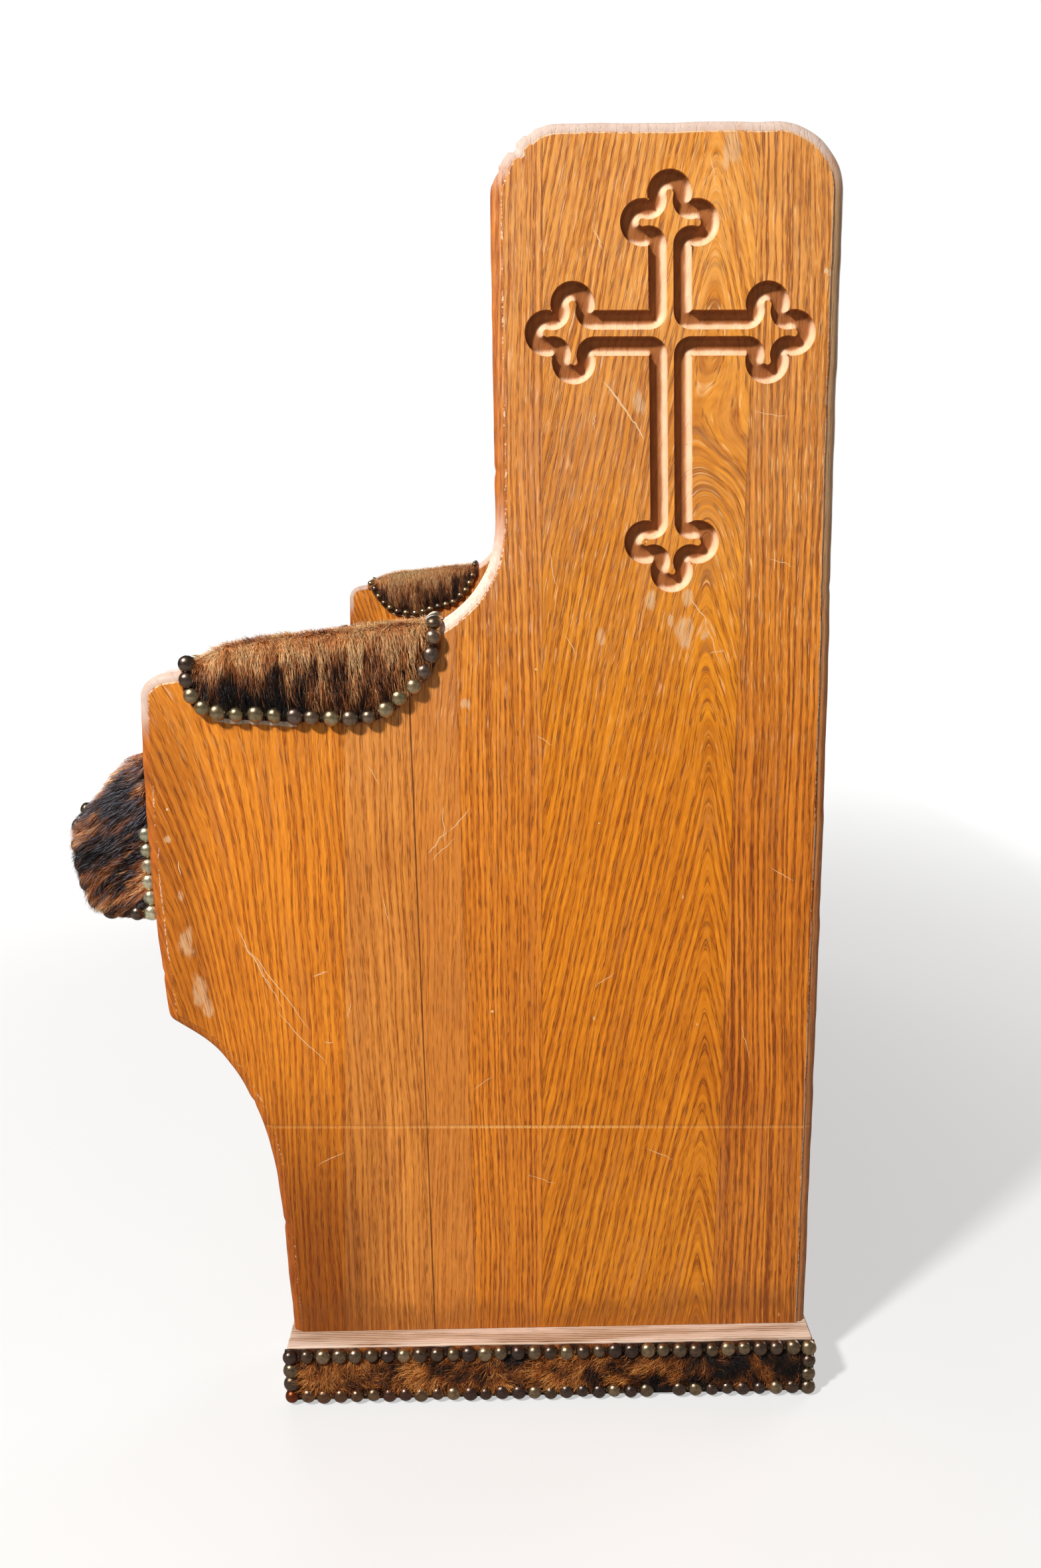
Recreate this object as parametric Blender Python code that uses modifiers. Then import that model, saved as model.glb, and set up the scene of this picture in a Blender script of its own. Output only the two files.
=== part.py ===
"""Upholstered oak church pew, four feet long, with budded-cross bench ends.

Frame: X runs along the bench (its long way), -Y is the sitter's side, +Z is up.
The origin is on the floor, under the middle of the bench.
Every outline below is drawn in (y, z), with y measured from the front edge of the tall
part of the bench end; Y_SHIFT then carries it to the centred frame.  Metres throughout.
"""
import math

import bmesh
import bpy
from mathutils import Matrix

# ---------------------------------------------------------------- driving dimensions
NAME = "church_pew"
LENGTH = 1.220  # over the outer faces of the bench ends
END_T = 0.038  # bench end thickness
HEIGHT = 0.9155  # bench end top
TALL_FRONT = -0.0066  # front edge of the tall part
BACK_EDGE = 0.2270  # rear edge of the bench end
PLINTH_H = 0.048
PLINTH_OUT = 0.0173  # ledge each side of the bench end
GAP = 0.0003  # glue or assembly gap between touching pieces
HIDE_T = 0.0026
EDGE_R = 0.0065  # round-over of the bench end's edges
GROOVE_HALF = 0.0052  # half width, and depth, of the routed cross
CROSS_Y, CROSS_Z = 0.1103, 0.7860  # crossing of the routed cross
SEAT_TOP = 0.440  # top of the seat board
SEAT_BOARD_T = 0.018
BACK_LEAN = math.radians(8.4)
BACK_FOOT = (0.1060, 0.4050)  # front lower edge of the back boards
BACK_T = 0.020
BOARD_H = 0.1080  # each of the four back boards
NAIL_W = 0.0086  # nailhead trim strip width
NAIL_H = 0.0040  # nailhead height over the hide
Y_SHIFT = 0.0500

X_OUT = LENGTH / 2
X_IN = X_OUT - END_T

for old in list(bpy.data.objects):
    bpy.data.objects.remove(old, do_unlink=True)

parts = bpy.data.collections.new(NAME)
cutters = bpy.data.collections.new(NAME + "_cutters")
bpy.context.scene.collection.children.link(parts)
bpy.context.scene.collection.children.link(cutters)
root = bpy.data.objects.new("pew_datum", None)
root.location = (0.0, Y_SHIFT, 0.0)
parts.objects.link(root)


# ---------------------------------------------------------------- materials
def material(name, colour, roughness, metallic=0.0):
    m = bpy.data.materials.new(name)
    m.use_nodes = True
    b = m.node_tree.nodes["Principled BSDF"]
    b.inputs["Base Color"].default_value = (*colour, 1.0)
    b.inputs["Roughness"].default_value = roughness
    b.inputs["Metallic"].default_value = metallic
    m.diffuse_color = (*colour, 1.0)
    return m


OAK = material("oak_varnished", (0.48, 0.21, 0.055), 0.38)
OAK_BASE = material("oak_base", (0.40, 0.20, 0.09), 0.55)
PINE = material("pine_framing", (0.62, 0.45, 0.26), 0.65)
PLY = material("plywood", (0.58, 0.42, 0.25), 0.6)
HIDE = material("cowhide_brindle", (0.10, 0.05, 0.025), 0.75)
FOAM = material("foam", (0.78, 0.72, 0.52), 0.9)
BRONZE = material("antique_nailhead", (0.20, 0.16, 0.09), 0.35, 1.0)
STEEL = material("zinc_steel", (0.62, 0.62, 0.60), 0.35, 1.0)
BEECH = material("beech_dowel", (0.66, 0.48, 0.30), 0.6)


# ---------------------------------------------------------------- outline helpers
def fillet(corners, cyclic=True, step=math.radians(15)):
    """Polygon of (y, z, radius) corners, with each corner rounded."""
    n = len(corners)
    out = []
    for i, (y, z, r) in enumerate(corners):
        if r <= 0.0 or (not cyclic and i in (0, n - 1)):
            out.append((y, z))
            continue
        py, pz, _ = corners[i - 1]
        ny, nz, _ = corners[(i + 1) % n]
        ay, az = py - y, pz - z
        by, bz = ny - y, nz - z
        la, lb = math.hypot(ay, az), math.hypot(by, bz)
        ay, az, by, bz = ay / la, az / la, by / lb, bz / lb
        inner = math.acos(max(-1.0, min(1.0, ay * by + az * bz)))
        t = r / math.tan(inner / 2)
        cy, cz = ay + by, az + bz
        lc = math.hypot(cy, cz)
        d = r / math.sin(inner / 2)
        cy, cz = y + cy / lc * d, z + cz / lc * d
        a0 = math.atan2(z + az * t - cz, y + ay * t - cy)
        a1 = math.atan2(z + bz * t - cz, y + by * t - cy)
        turn = (a1 - a0 + math.pi) % (2 * math.pi) - math.pi
        k = max(2, int(math.ceil(abs(turn) / step)))
        for j in range(k + 1):
            a = a0 + turn * j / k
            out.append((cy + r * math.cos(a), cz + r * math.sin(a)))
    return out


def smooth_through(points, per_span=4):
    """Catmull-Rom curve through the given points."""
    p = [points[0]] + list(points) + [points[-1]]
    out = []
    for i in range(1, len(p) - 2):
        for j in range(per_span):
            t = j / per_span
            out.append(
                tuple(
                    0.5
                    * (
                        2 * p[i][c]
                        + (p[i + 1][c] - p[i - 1][c]) * t
                        + (2 * p[i - 1][c] - 5 * p[i][c] + 4 * p[i + 1][c] - p[i + 2][c]) * t * t
                        + (3 * p[i][c] - p[i - 1][c] - 3 * p[i + 1][c] + p[i + 2][c]) * t ** 3
                    )
                    for c in (0, 1)
                )
            )
    out.append(tuple(points[-1]))
    return out


def offset_open(points, d):
    """Points moved d to the left of their running direction."""
    out = []
    n = len(points)
    for i in range(n):
        ay, az = points[max(i - 1, 0)]
        by, bz = points[min(i + 1, n - 1)]
        ty, tz = by - ay, bz - az
        length = math.hypot(ty, tz)
        out.append((points[i][0] - tz / length * d, points[i][1] + ty / length * d))
    return out


def arc(cy, cz, r, a0, a1, step):
    k = max(2, int(math.ceil(abs(a1 - a0) / step)))
    return [
        (cy + r * math.cos(a0 + (a1 - a0) * j / k), cz + r * math.sin(a0 + (a1 - a0) * j / k))
        for j in range(k + 1)
    ]


# ---------------------------------------------------------------- solid helpers
def finish(ob, mat, smooth=True):
    me = ob.data
    me.materials.clear()
    me.materials.append(mat)
    if smooth:
        me.shade_smooth()
        me.set_sharp_from_angle(angle=math.radians(35))
    ob.parent = root
    return ob


def hide_cutter(ob):
    ob.hide_render = True
    ob.display_type = "WIRE"
    ob.parent = root
    return ob


def mesh_from_curve(cu, name, where):
    """A curve, with its caps, as one closed mesh object."""
    tmp = bpy.data.objects.new(name + "_outline", cu)
    cutters.objects.link(tmp)
    bpy.context.view_layer.update()
    me = bpy.data.meshes.new_from_object(tmp.evaluated_get(bpy.context.evaluated_depsgraph_get()))
    me.name = name
    bm = bmesh.new()
    bm.from_mesh(me)
    bmesh.ops.remove_doubles(bm, verts=bm.verts, dist=1e-6)
    bmesh.ops.recalc_face_normals(bm, faces=bm.faces)
    bm.to_mesh(me)
    bm.free()
    ob = bpy.data.objects.new(name, me)
    bpy.data.objects.remove(tmp, do_unlink=True)
    where.objects.link(ob)
    return ob


def prism(name, loops, x0, x1, where=None):
    """A flat (y, z) outline, with any inner loops as holes, from x0 to x1."""
    cu = bpy.data.curves.new(name + "_outline", "CURVE")
    cu.dimensions = "2D"
    cu.fill_mode = "BOTH"
    cu.extrude = abs(x1 - x0) / 2
    for loop in loops:
        sp = cu.splines.new("POLY")
        sp.points.add(len(loop) - 1)
        for p, (y, z) in zip(sp.points, loop):
            p.co = (y, z, 0.0, 1.0)
        sp.use_cyclic_u = True
    ob = mesh_from_curve(cu, name, where or parts)
    turn = Matrix(((0, 0, 1), (1, 0, 0), (0, 1, 0))).to_4x4()
    ob.rotation_euler = turn.to_euler()
    ob.location = ((x0 + x1) / 2, 0.0, 0.0)
    return ob


def box(name, lo, hi, where=None, turn_x=0.0, pivot=None):
    """A box from corner to corner; with turn_x it is turned about its pivot (y, z)."""
    size = [hi[i] - lo[i] for i in range(3)]
    me = bpy.data.meshes.new(name)
    bm = bmesh.new()
    bmesh.ops.create_cube(bm, size=1.0)
    bmesh.ops.scale(bm, vec=size, verts=bm.verts)
    mid = [(hi[i] + lo[i]) / 2 for i in range(3)]
    if pivot is not None:
        bmesh.ops.translate(bm, vec=(0.0, mid[1] - pivot[0], mid[2] - pivot[1]), verts=bm.verts)
        mid = [mid[0], pivot[0], pivot[1]]
    bm.to_mesh(me)
    bm.free()
    ob = bpy.data.objects.new(name, me)
    ob.location = mid
    ob.rotation_euler = (turn_x, 0.0, 0.0)
    (where or parts).objects.link(ob)
    return ob


def rod(name, r0, r1, length, where=None, sides=12):
    """A cylinder, or a cone from r0 to r1, along its own Z from 0 to length."""
    me = bpy.data.meshes.new(name)
    bm = bmesh.new()
    bmesh.ops.create_cone(bm, cap_ends=True, segments=sides, radius1=r0, radius2=r1, depth=length)
    bmesh.ops.translate(bm, vec=(0, 0, length / 2), verts=bm.verts)
    bm.to_mesh(me)
    bm.free()
    ob = bpy.data.objects.new(name, me)
    (where or parts).objects.link(ob)
    return ob


def bevel(ob, width, segments=1, angle=50):
    m = ob.modifiers.new("edges", "BEVEL")
    m.width = width
    m.segments = segments
    m.limit_method = "ANGLE"
    m.angle_limit = math.radians(angle)
    m.use_clamp_overlap = True
    return m


def cut(ob, cutter, how="DIFFERENCE"):
    m = ob.modifiers.new(how.lower() + "_" + cutter.name, "BOOLEAN")
    m.operation = how
    m.solver = "EXACT"
    m.object = cutter
    return m


# ---------------------------------------------------------------- bench end outline
def end_outline():
    sweep = smooth_through(
        [(-0.1750, PLINTH_H + GAP), (-0.1775, 0.105), (-0.1797, 0.159), (-0.1850, 0.203),
         (-0.1967, 0.242), (-0.2190, 0.2835), (-0.2542, 0.3105)], 4)
    front = [(-0.2585, 0.375), (-0.2602, 0.450), (-0.2590, 0.510)]
    slope = math.tan(math.radians(8.3))
    arm_end = 0.5662 + (TALL_FRONT + 0.240) * slope
    upper = fillet(
        [(-0.2590, 0.510, 0), (-0.2572, 0.5637, 0.020), (TALL_FRONT, arm_end, 0.075),
         (TALL_FRONT, HEIGHT, 0.045), (BACK_EDGE, HEIGHT, 0.045), (BACK_EDGE, PLINTH_H + GAP, 0)],
        cyclic=False, step=math.radians(11))
    return sweep + front + upper[1:]


END = end_outline()
ARM_LINE = sorted(p for p in END if -0.2535 < p[0] < TALL_FRONT - 0.002 and 0.52 < p[1] < 0.66)


def arm_top(y):
    """Height of the arm's top edge at y, read from the outline."""
    for (ya, za), (yb, zb) in zip(ARM_LINE, ARM_LINE[1:]):
        if y <= yb:
            return za + (y - ya) * (zb - za) / (yb - ya)
    return ARM_LINE[-1][1]


# ---------------------------------------------------------------- routed cross
def cross_path(arms=((0.0852, 0.0678), (0.0815, 0.0641), (0.1546, 0.1352), (0.0815, 0.0641))):
    """Centre line of the routed groove: a cross whose arms end in three round buds.

    arms gives, for the top, left, bottom and right arm, how far out the end bud's and the
    side buds' centres lie.  The outer wall is the outline of round buds and straight arms.
    """
    half, lobe, side, w = 0.0082, 0.0085, 0.0177, 0.0056
    step = math.radians(30)
    big = lobe + w
    out = []
    for i, (tip, low) in enumerate(arms):
        c1 = (half + w, low - math.sqrt(big ** 2 - (side - half - w) ** 2))
        to_lobe = math.atan2(low - c1[1], side - c1[0])
        d = math.hypot(side, tip - low)
        h = math.sqrt(big ** 2 - (d / 2) ** 2)
        c2 = (side / 2 + (tip - low) / d * h, (tip + low) / 2 + side / d * h)
        l_c2 = math.atan2(c2[1] - low, c2[0] - side)
        c2_t = math.atan2(tip - c2[1], -c2[0])
        t_c2 = math.atan2(c2[1] - tip, c2[0])
        right = arc(*c1, w, math.pi, to_lobe, step)
        right += arc(side, low, lobe, to_lobe - math.pi, l_c2, step)[1:]
        right += arc(*c2, w, l_c2 - math.pi + 2 * math.pi, c2_t, step)[1:]
        right += arc(0.0, tip, lobe, t_c2, math.pi / 2, step)[1:]
        whole = right + [(-u, v) for u, v in reversed(right[:-1])]
        # rounded inner corner of the crossing, after this arm
        whole += arc(-half - w, half + w, w, 0.0, -math.pi / 2, math.radians(45))
        a = i * math.pi / 2
        out += [(u * math.cos(a) - v * math.sin(a), u * math.sin(a) + v * math.cos(a)) for u, v in whole]
    return [(CROSS_Y + u, CROSS_Z + v) for u, v in out]


def cross_cutter(name, x):
    cu = bpy.data.curves.new(name, "CURVE")
    cu.dimensions = "3D"
    cu.bevel_depth = GROOVE_HALF
    cu.bevel_resolution = 0
    cu.twist_mode = "Z_UP"
    sp = cu.splines.new("POLY")
    pts = cross_path()
    sp.points.add(len(pts) - 1)
    for p, (y, z) in zip(sp.points, pts):
        p.co = (y, z, 0.0, 1.0)
    sp.use_cyclic_u = True
    ob = mesh_from_curve(cu, name, cutters)
    ob.rotation_euler = Matrix(((0, 0, 1), (1, 0, 0), (0, 1, 0))).to_4x4().to_euler()
    ob.location = (x, 0.0, 0.0)
    return hide_cutter(ob)


# ---------------------------------------------------------------- seat nose outline (hide outside)
NOSE = [(-0.2720, 0.3752), (-0.2929, 0.3760), (-0.3070, 0.3805), (-0.3158, 0.3880), (-0.3212, 0.4020),
        (-0.3245, 0.4190), (-0.3253, 0.4370), (-0.3220, 0.4520), (-0.3128, 0.4640), (-0.3004, 0.4767),
        (-0.2879, 0.4895), (-0.2687, 0.5010), (-0.2350, 0.5070), (-0.1800, 0.5090), (-0.0900, 0.5080),
        (0.0200, 0.5020), (0.0820, 0.4930), (0.1020, 0.4800)]


def back_front(z):
    """y of the back boards' front face at height z."""
    return BACK_FOOT[0] + (z - BACK_FOOT[1]) * math.tan(BACK_LEAN)


# ---------------------------------------------------------------- arm saddle outlines
# each flap hangs from the arm's top; y, z of its edge, front top to rear top
FLAP_OUTER = [(-0.2260, 0.5640), (-0.2240, 0.5500), (-0.2160, 0.5400), (-0.2030, 0.5345), (-0.1800, 0.5320),
              (-0.1400, 0.5300), (-0.1100, 0.5292), (-0.0930, 0.5305), (-0.0790, 0.5370), (-0.0640, 0.5500),
              (-0.0520, 0.5650), (-0.0458, 0.5790)]
FLAP_INNER = [(-0.2230, 0.5640), (-0.2190, 0.5540), (-0.2120, 0.5440), (-0.2040, 0.5350), (-0.1930, 0.5260),
              (-0.1790, 0.5192), (-0.1640, 0.5170), (-0.1490, 0.5165), (-0.1350, 0.5185), (-0.1100, 0.5265),
              (-0.0850, 0.5340), (-0.0700, 0.5460), (-0.0570, 0.5620), (-0.0470, 0.5780)]


def over_arm(y0, y1, rise, n=12):
    """Points above the arm's top edge from y0 to y1; rise(y) is the height square to the edge."""
    rim_w = 0.0092 if y1 - y0 > 0.16 else 0.0
    ys = [y0] + [y0 + rim_w + (y1 - y0 - 2 * rim_w) * i / n for i in range(n + 1)] + [y1]
    ys = [y for i, y in enumerate(ys) if i == 0 or y > ys[i - 1] + 1e-6]
    base = [(y, arm_top(y)) for y in ys]
    n = len(base) - 1
    out = []
    for i, (y, z) in enumerate(base):
        (ya, za), (yb, zb) = base[max(i - 1, 0)], base[min(i + 1, n)]
        run = math.hypot(yb - ya, zb - za)
        h = rise(y)
        out.append((y - (zb - za) / run * h, z + (yb - ya) / run * h))
    return out


def saddle_rise(y, flap, low, full):
    """Height of a saddle over the arm: low on its nailed rim, full over the padding."""
    d = min(y - flap[0][0], flap[-1][0] - y) - 0.0092
    t = max(0.0, min(1.0, d / 0.022))
    return low + (full - low) * (1.0 - (1.0 - t) ** 2)


def saddle_outline(flap, low, full, inset):
    """Closed outline of a saddle: the flap's edge, drawn in by inset, and its top over the arm."""
    edge = offset_open(smooth_through(flap, 2), inset)
    top = over_arm(edge[0][0], edge[-1][0], lambda y: saddle_rise(y, flap, low, full))
    return edge + top[::-1]


def side_name(s):
    return "right" if s > 0 else "left"


def span(s, a, b):
    """x range between distances a and b from the middle, on side s."""
    return (a, b) if s > 0 else (-b, -a)


# ================================================================ bench ends and bases
for s in (1, -1):
    side = side_name(s)
    x0, x1 = span(s, X_IN, X_OUT)
    end = finish(prism("end_panel_" + side, [END], x0, x1), OAK)
    bevel(end, EDGE_R * 0.75, 2)
    cut(end, cross_cutter("cross_cutter_" + side, s * (X_OUT + 0.0004)))

    p0, p1 = span(s, X_IN - PLINTH_OUT, X_OUT + PLINTH_OUT)
    plinth = finish(box("plinth_" + side, (p0, -0.1775, 0.0), (p1, 0.2285, PLINTH_H)), OAK_BASE)
    bevel(plinth, 0.0015, 1)

    # dowels pin the bench end to its base
    for where, y in (("front", -0.120), ("rear", 0.170)):
        d = finish(rod("dowel_%s_%s" % (side, where), 0.006, 0.006, 0.050), BEECH)
        d.location = ((x0 + x1) / 2, y, 0.0240)
        hole = hide_cutter(rod("dowel_hole_%s_%s" % (side, where), 0.0064, 0.0064, 0.0506, cutters))
        hole.location = ((x0 + x1) / 2, y, 0.0237)
        cut(end, hole)
        cut(plinth, hole)

    # band of hide on the base's outer face, framed by nailhead trim
    h0, h1 = span(s, X_OUT + PLINTH_OUT + GAP, X_OUT + PLINTH_OUT + GAP + HIDE_T)
    finish(box("plinth_hide_" + side, (h0, -0.1790, 0.0030), (h1, 0.2295, 0.0462)), HIDE)
    n0, n1 = span(s, X_OUT + PLINTH_OUT + 2 * GAP + HIDE_T, X_OUT + PLINTH_OUT + 2 * GAP + HIDE_T + NAIL_H)
    ring_out = fillet([(-0.1788, 0.0032, 0.003), (0.2293, 0.0032, 0.003), (0.2293, 0.0460, 0.003), (-0.1788, 0.0460, 0.003)], step=math.radians(45))
    w = NAIL_W
    ring_in = fillet([(-0.1788 + w, 0.0032 + w, 0.001), (0.2293 - w, 0.0032 + w, 0.001), (0.2293 - w, 0.0460 - w, 0.001), (-0.1788 + w, 0.0460 - w, 0.001)], step=math.radians(45))
    finish(prism("plinth_nail_trim_" + side, [ring_out, ring_in], n0, n1), BRONZE)

    # ------------------------------------------------ padded arm: foam, hide saddle, nail trim
    pad, rim = 0.0130, GAP + HIDE_T
    faces = {"outer": s * X_OUT, "inner": s * X_IN}
    out_of = {"outer": s, "inner": -s}  # which way along X each face looks
    flaps = {"outer": FLAP_OUTER, "inner": FLAP_INNER}
    ya, yb = FLAP_OUTER[0][0] + 0.0098, FLAP_OUTER[-1][0] - 0.0098

    def padding(low, full):
        return lambda y: saddle_rise(y, FLAP_OUTER, low, full)

    f_loop = over_arm(ya, yb, lambda y: 2 * GAP) + over_arm(ya, yb, padding(0.0010, pad - HIDE_T - GAP))[::-1]
    finish(prism("arm_foam_" + side, [f_loop], x0 + 0.0028, x1 - 0.0028), FOAM)
    hide = finish(prism("arm_hide_" + side, [saddle_outline(FLAP_OUTER, rim + 0.0001, pad, 0.0)], x0 - rim, x1 + rim), HIDE)
    r_loop = over_arm(ya - GAP, yb + GAP, lambda y: -0.003) + over_arm(ya - GAP, yb + GAP, padding(0.0013, pad - HIDE_T))[::-1]
    cut(hide, hide_cutter(prism("arm_foam_room_" + side, [r_loop], x0 + 0.0024, x1 - 0.0024, cutters)))
    cut(hide, hide_cutter(prism("arm_gap_cutter_" + side, [offset_open(END, GAP)], x0 - GAP, x1 + GAP, cutters)))
    deep = hide_cutter(prism("arm_hide_deep_flap_" + side, [smooth_through(FLAP_INNER, 2)],
                             *sorted((faces["inner"] + out_of["inner"] * (rim + 0.00005), faces["inner"] + out_of["inner"] * (GAP + 0.0004))), cutters))
    cut(hide, deep, "UNION")
    for face in ("outer", "inner"):
        line = smooth_through(flaps[face], 2)
        band = offset_open(line, 0.0002) + offset_open(line, 0.0086)[::-1]
        start = faces[face] + out_of[face] * (rim + GAP)
        finish(prism("arm_nail_trim_%s_%s" % (side, face), [band], *sorted((start, start + out_of[face] * NAIL_H))), BRONZE)

    # the trim crosses over the arm at the front and rear of the saddle
    for tag, ya, yb in (("front", -0.2257, -0.2173), ("rear", -0.0545, -0.0462)):
        low_, high_ = over_arm(ya, yb, lambda y: rim + 2 * GAP, 4), over_arm(ya, yb, lambda y: rim + 2 * GAP + NAIL_H, 4)
        finish(prism("arm_nail_trim_%s_%s" % (side, tag), [low_ + high_[::-1]], *span(s, X_IN + 0.001, X_OUT - 0.001)), BRONZE)

# ================================================================ seat
xb = X_IN - GAP
seat_rear = back_front(SEAT_TOP - SEAT_BOARD_T) - GAP
board = finish(box("seat_board", (-xb, -0.2620, SEAT_TOP - SEAT_BOARD_T), (xb, seat_rear - 0.001, SEAT_TOP)), PLY)
rail = finish(box("seat_front_rail", (-xb, -0.2850, 0.3790), (xb, -0.2620 - GAP, SEAT_TOP)), PINE)
bevel(rail, 0.002, 1)
rear_rail = finish(box("seat_rear_rail", (-xb, 0.0700, 0.3770), (xb, 0.0920, SEAT_TOP - SEAT_BOARD_T - GAP)), PINE)
brace = finish(box("seat_middle_brace", (-0.0200, -0.2620, 0.3820), (0.0200, 0.0700 - GAP, SEAT_TOP - SEAT_BOARD_T - GAP)), PINE)

nose = smooth_through(NOSE, 2)
inner = offset_open(nose, -(HIDE_T + GAP))
foam_back = back_front(0.46) - 0.010
foam_line = [p for p in inner if p[0] < foam_back - 0.002]
foam_loop = (
    [(-0.2850 - GAP, 0.3810)] + [p for p in foam_line if p[0] < -0.2860 or p[1] > 0.42]
    + [(foam_back, 0.4700), (foam_back, SEAT_TOP + GAP), (-0.2850 - GAP, SEAT_TOP + GAP)]
)
finish(prism("seat_foam", [foam_loop], -(xb - 0.0034), xb - 0.0034), FOAM)

hide_back = foam_back + 0.004
hide_line = [p for p in nose if p[0] < hide_back - 0.002]
hide_loop = hide_line + [(hide_back, 0.4780), (hide_back, SEAT_TOP + GAP), (-0.2720, SEAT_TOP + GAP)]
seat_hide = finish(prism("seat_hide", [hide_loop], -(xb - 0.0004), xb - 0.0004), HIDE)
room = [(-0.2630, 0.3778)] + [(-0.2860, 0.3778)] + [
    p for p in offset_open(nose, -HIDE_T) if (p[0] < -0.2870 or p[1] > 0.42) and p[0] < foam_back] + [
    (foam_back + GAP, 0.4700), (foam_back + GAP, 0.4000), (-0.2630, 0.4000)]
cut(seat_hide, hide_cutter(prism("seat_foam_room", [room], -(xb - 0.0031), xb - 0.0031, cutters)))
for s in (1, -1):
    c = hide_cutter(box("seat_rail_room_" + side_name(s), (min(s * (xb - 0.02), s * (xb + 0.01)), -0.2853, 0.3700),
                        (max(s * (xb - 0.02), s * (xb + 0.01)), -0.2000, SEAT_TOP + GAP), cutters))
    cut(seat_hide, c)

# nailhead trim round the nose at each end: down its front, just inside the end, and on its
# end face, beside the bench end's front edge, turning forward along the bottom
front_line = [p for p in smooth_through(NOSE, 3) if p[0] < -0.2990 and p[1] < 0.4660]
for s in (1, -1):
    side = side_name(s)
    lo_, hi_ = offset_open(front_line, GAP), offset_open(front_line, GAP + NAIL_H)
    finish(prism("nose_nail_trim_front_" + side, [lo_ + hi_[::-1]], *span(s, xb - 0.0130, xb - 0.0044)), BRONZE)
    ell = [(-0.2745, 0.4470), (-0.2745, 0.3868), (-0.2860, 0.3868), (-0.2860, 0.3784), (-0.2661, 0.3784), (-0.2661, 0.4470)]
    finish(prism("nose_nail_trim_end_" + side, [ell], *span(s, xb, xb + NAIL_H)), BRONZE)

# ================================================================ back
def back_piece(name, s0, s1, t0, t1, x, mat):
    """A piece lying along the leaning back: s up the boards, t behind their front face."""
    y, z = BACK_FOOT
    ob = box(name, (-x, y + t0, z + s0), (x, y + t1, z + s1), turn_x=-BACK_LEAN, pivot=BACK_FOOT)
    return finish(ob, mat)


for i in range(4):
    b = back_piece("back_board_%d" % (i + 1), i * (BOARD_H + GAP), i * (BOARD_H + GAP) + BOARD_H, 0.0, BACK_T, xb, OAK)
    bevel(b, 0.0022, 1)
top = 4 * (BOARD_H + GAP)
cap = back_piece("back_top_rail", top, top + 0.030, -0.010, BACK_T + 0.010, xb, OAK)
bevel(cap, 0.007, 3)
low = back_piece("back_bottom_rail", -0.0450, -GAP, -0.0015, BACK_T + 0.0015, xb, OAK)
bevel(low, 0.003, 1)
for s in (1, -1):
    side = side_name(s)
    y, z = BACK_FOOT
    xs = span(s, xb - 0.020, xb)
    cleat = finish(box("back_cleat_" + side, (xs[0], y + BACK_T + GAP, z + 0.010), (xs[1], y + BACK_T + 0.022, z + top - 0.012),
                       turn_x=-BACK_LEAN, pivot=BACK_FOOT), PINE)
    xs = span(s, xb - 0.022, xb)
    seat_cleat = finish(box("seat_cleat_" + side, (xs[0], -0.2550, 0.3900), (xs[1], 0.0690, SEAT_TOP - SEAT_BOARD_T - GAP)), PINE)
    end = bpy.data.objects["end_panel_" + side]
    spots = [("seat", seat_cleat, "front", -0.1900, 0.4055, xb - 0.022), ("seat", seat_cleat, "rear", 0.0100, 0.4055, xb - 0.022)]
    for tag, up in (("lower", 0.110), ("upper", 0.340)):
        spots.append(("back", cleat, tag, y + up * math.sin(BACK_LEAN) + (BACK_T + 0.011) * math.cos(BACK_LEAN),
                      z + up * math.cos(BACK_LEAN) - (BACK_T + 0.011) * math.sin(BACK_LEAN), xb - 0.020))
    for kind, cl, tag, sy, sz, xf in spots:
        # a countersunk wood screw: shank and head turned as one piece, driven outwards into the bench end
        screw = rod("%s_screw_%s_%s" % (kind, side, tag), 0.0040, 0.0020, 0.0022, sides=10)
        shank = hide_cutter(rod("shank_%s_%s_%s" % (kind, side, tag), 0.0020, 0.0020, 0.0400, cutters, sides=10))
        for ob_, dx in ((screw, 0.0004), (shank, 0.0012)):
            ob_.rotation_euler = (0.0, s * math.pi / 2, 0.0)
            ob_.location = (s * (xf + dx), sy, sz)
        finish(screw, STEEL)
        cut(screw, shank, "UNION")
        head_room = hide_cutter(rod("head_room_%s_%s_%s" % (kind, side, tag), 0.0049, 0.0024, 0.0032, cutters, sides=10))
        head_room.rotation_euler = (0.0, s * math.pi / 2, 0.0)
        head_room.location = (s * (xf - 0.0002), sy, sz)
        hole = hide_cutter(rod("hole_%s_%s_%s" % (kind, side, tag), 0.0024, 0.0024, 0.0420, cutters, sides=10))
        hole.rotation_euler = (0.0, s * math.pi / 2, 0.0)
        hole.location = (s * (xf + 0.0008), sy, sz)
        cut(cl, head_room)
        cut(cl, hole)
        cut(end, hole)

# glue blocks behind the front rail
for s in (1, -1):
    side = side_name(s)
    xs = span(s, 0.270, 0.330)
    tri = [(-0.2620, SEAT_TOP - SEAT_BOARD_T - GAP), (-0.2620, 0.3850), (-0.2560, 0.3850), (-0.2250, 0.4160), (-0.2250, SEAT_TOP - SEAT_BOARD_T - GAP)]
    finish(prism("glue_block_" + side, [tri], *xs), PINE)
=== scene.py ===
"""Looks of the upholstered oak church pew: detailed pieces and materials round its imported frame."""
import math

import bmesh
import bpy
import numpy as np
from mathutils import Matrix, Vector
from mathutils.geometry import delaunay_2d_cdt


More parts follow.
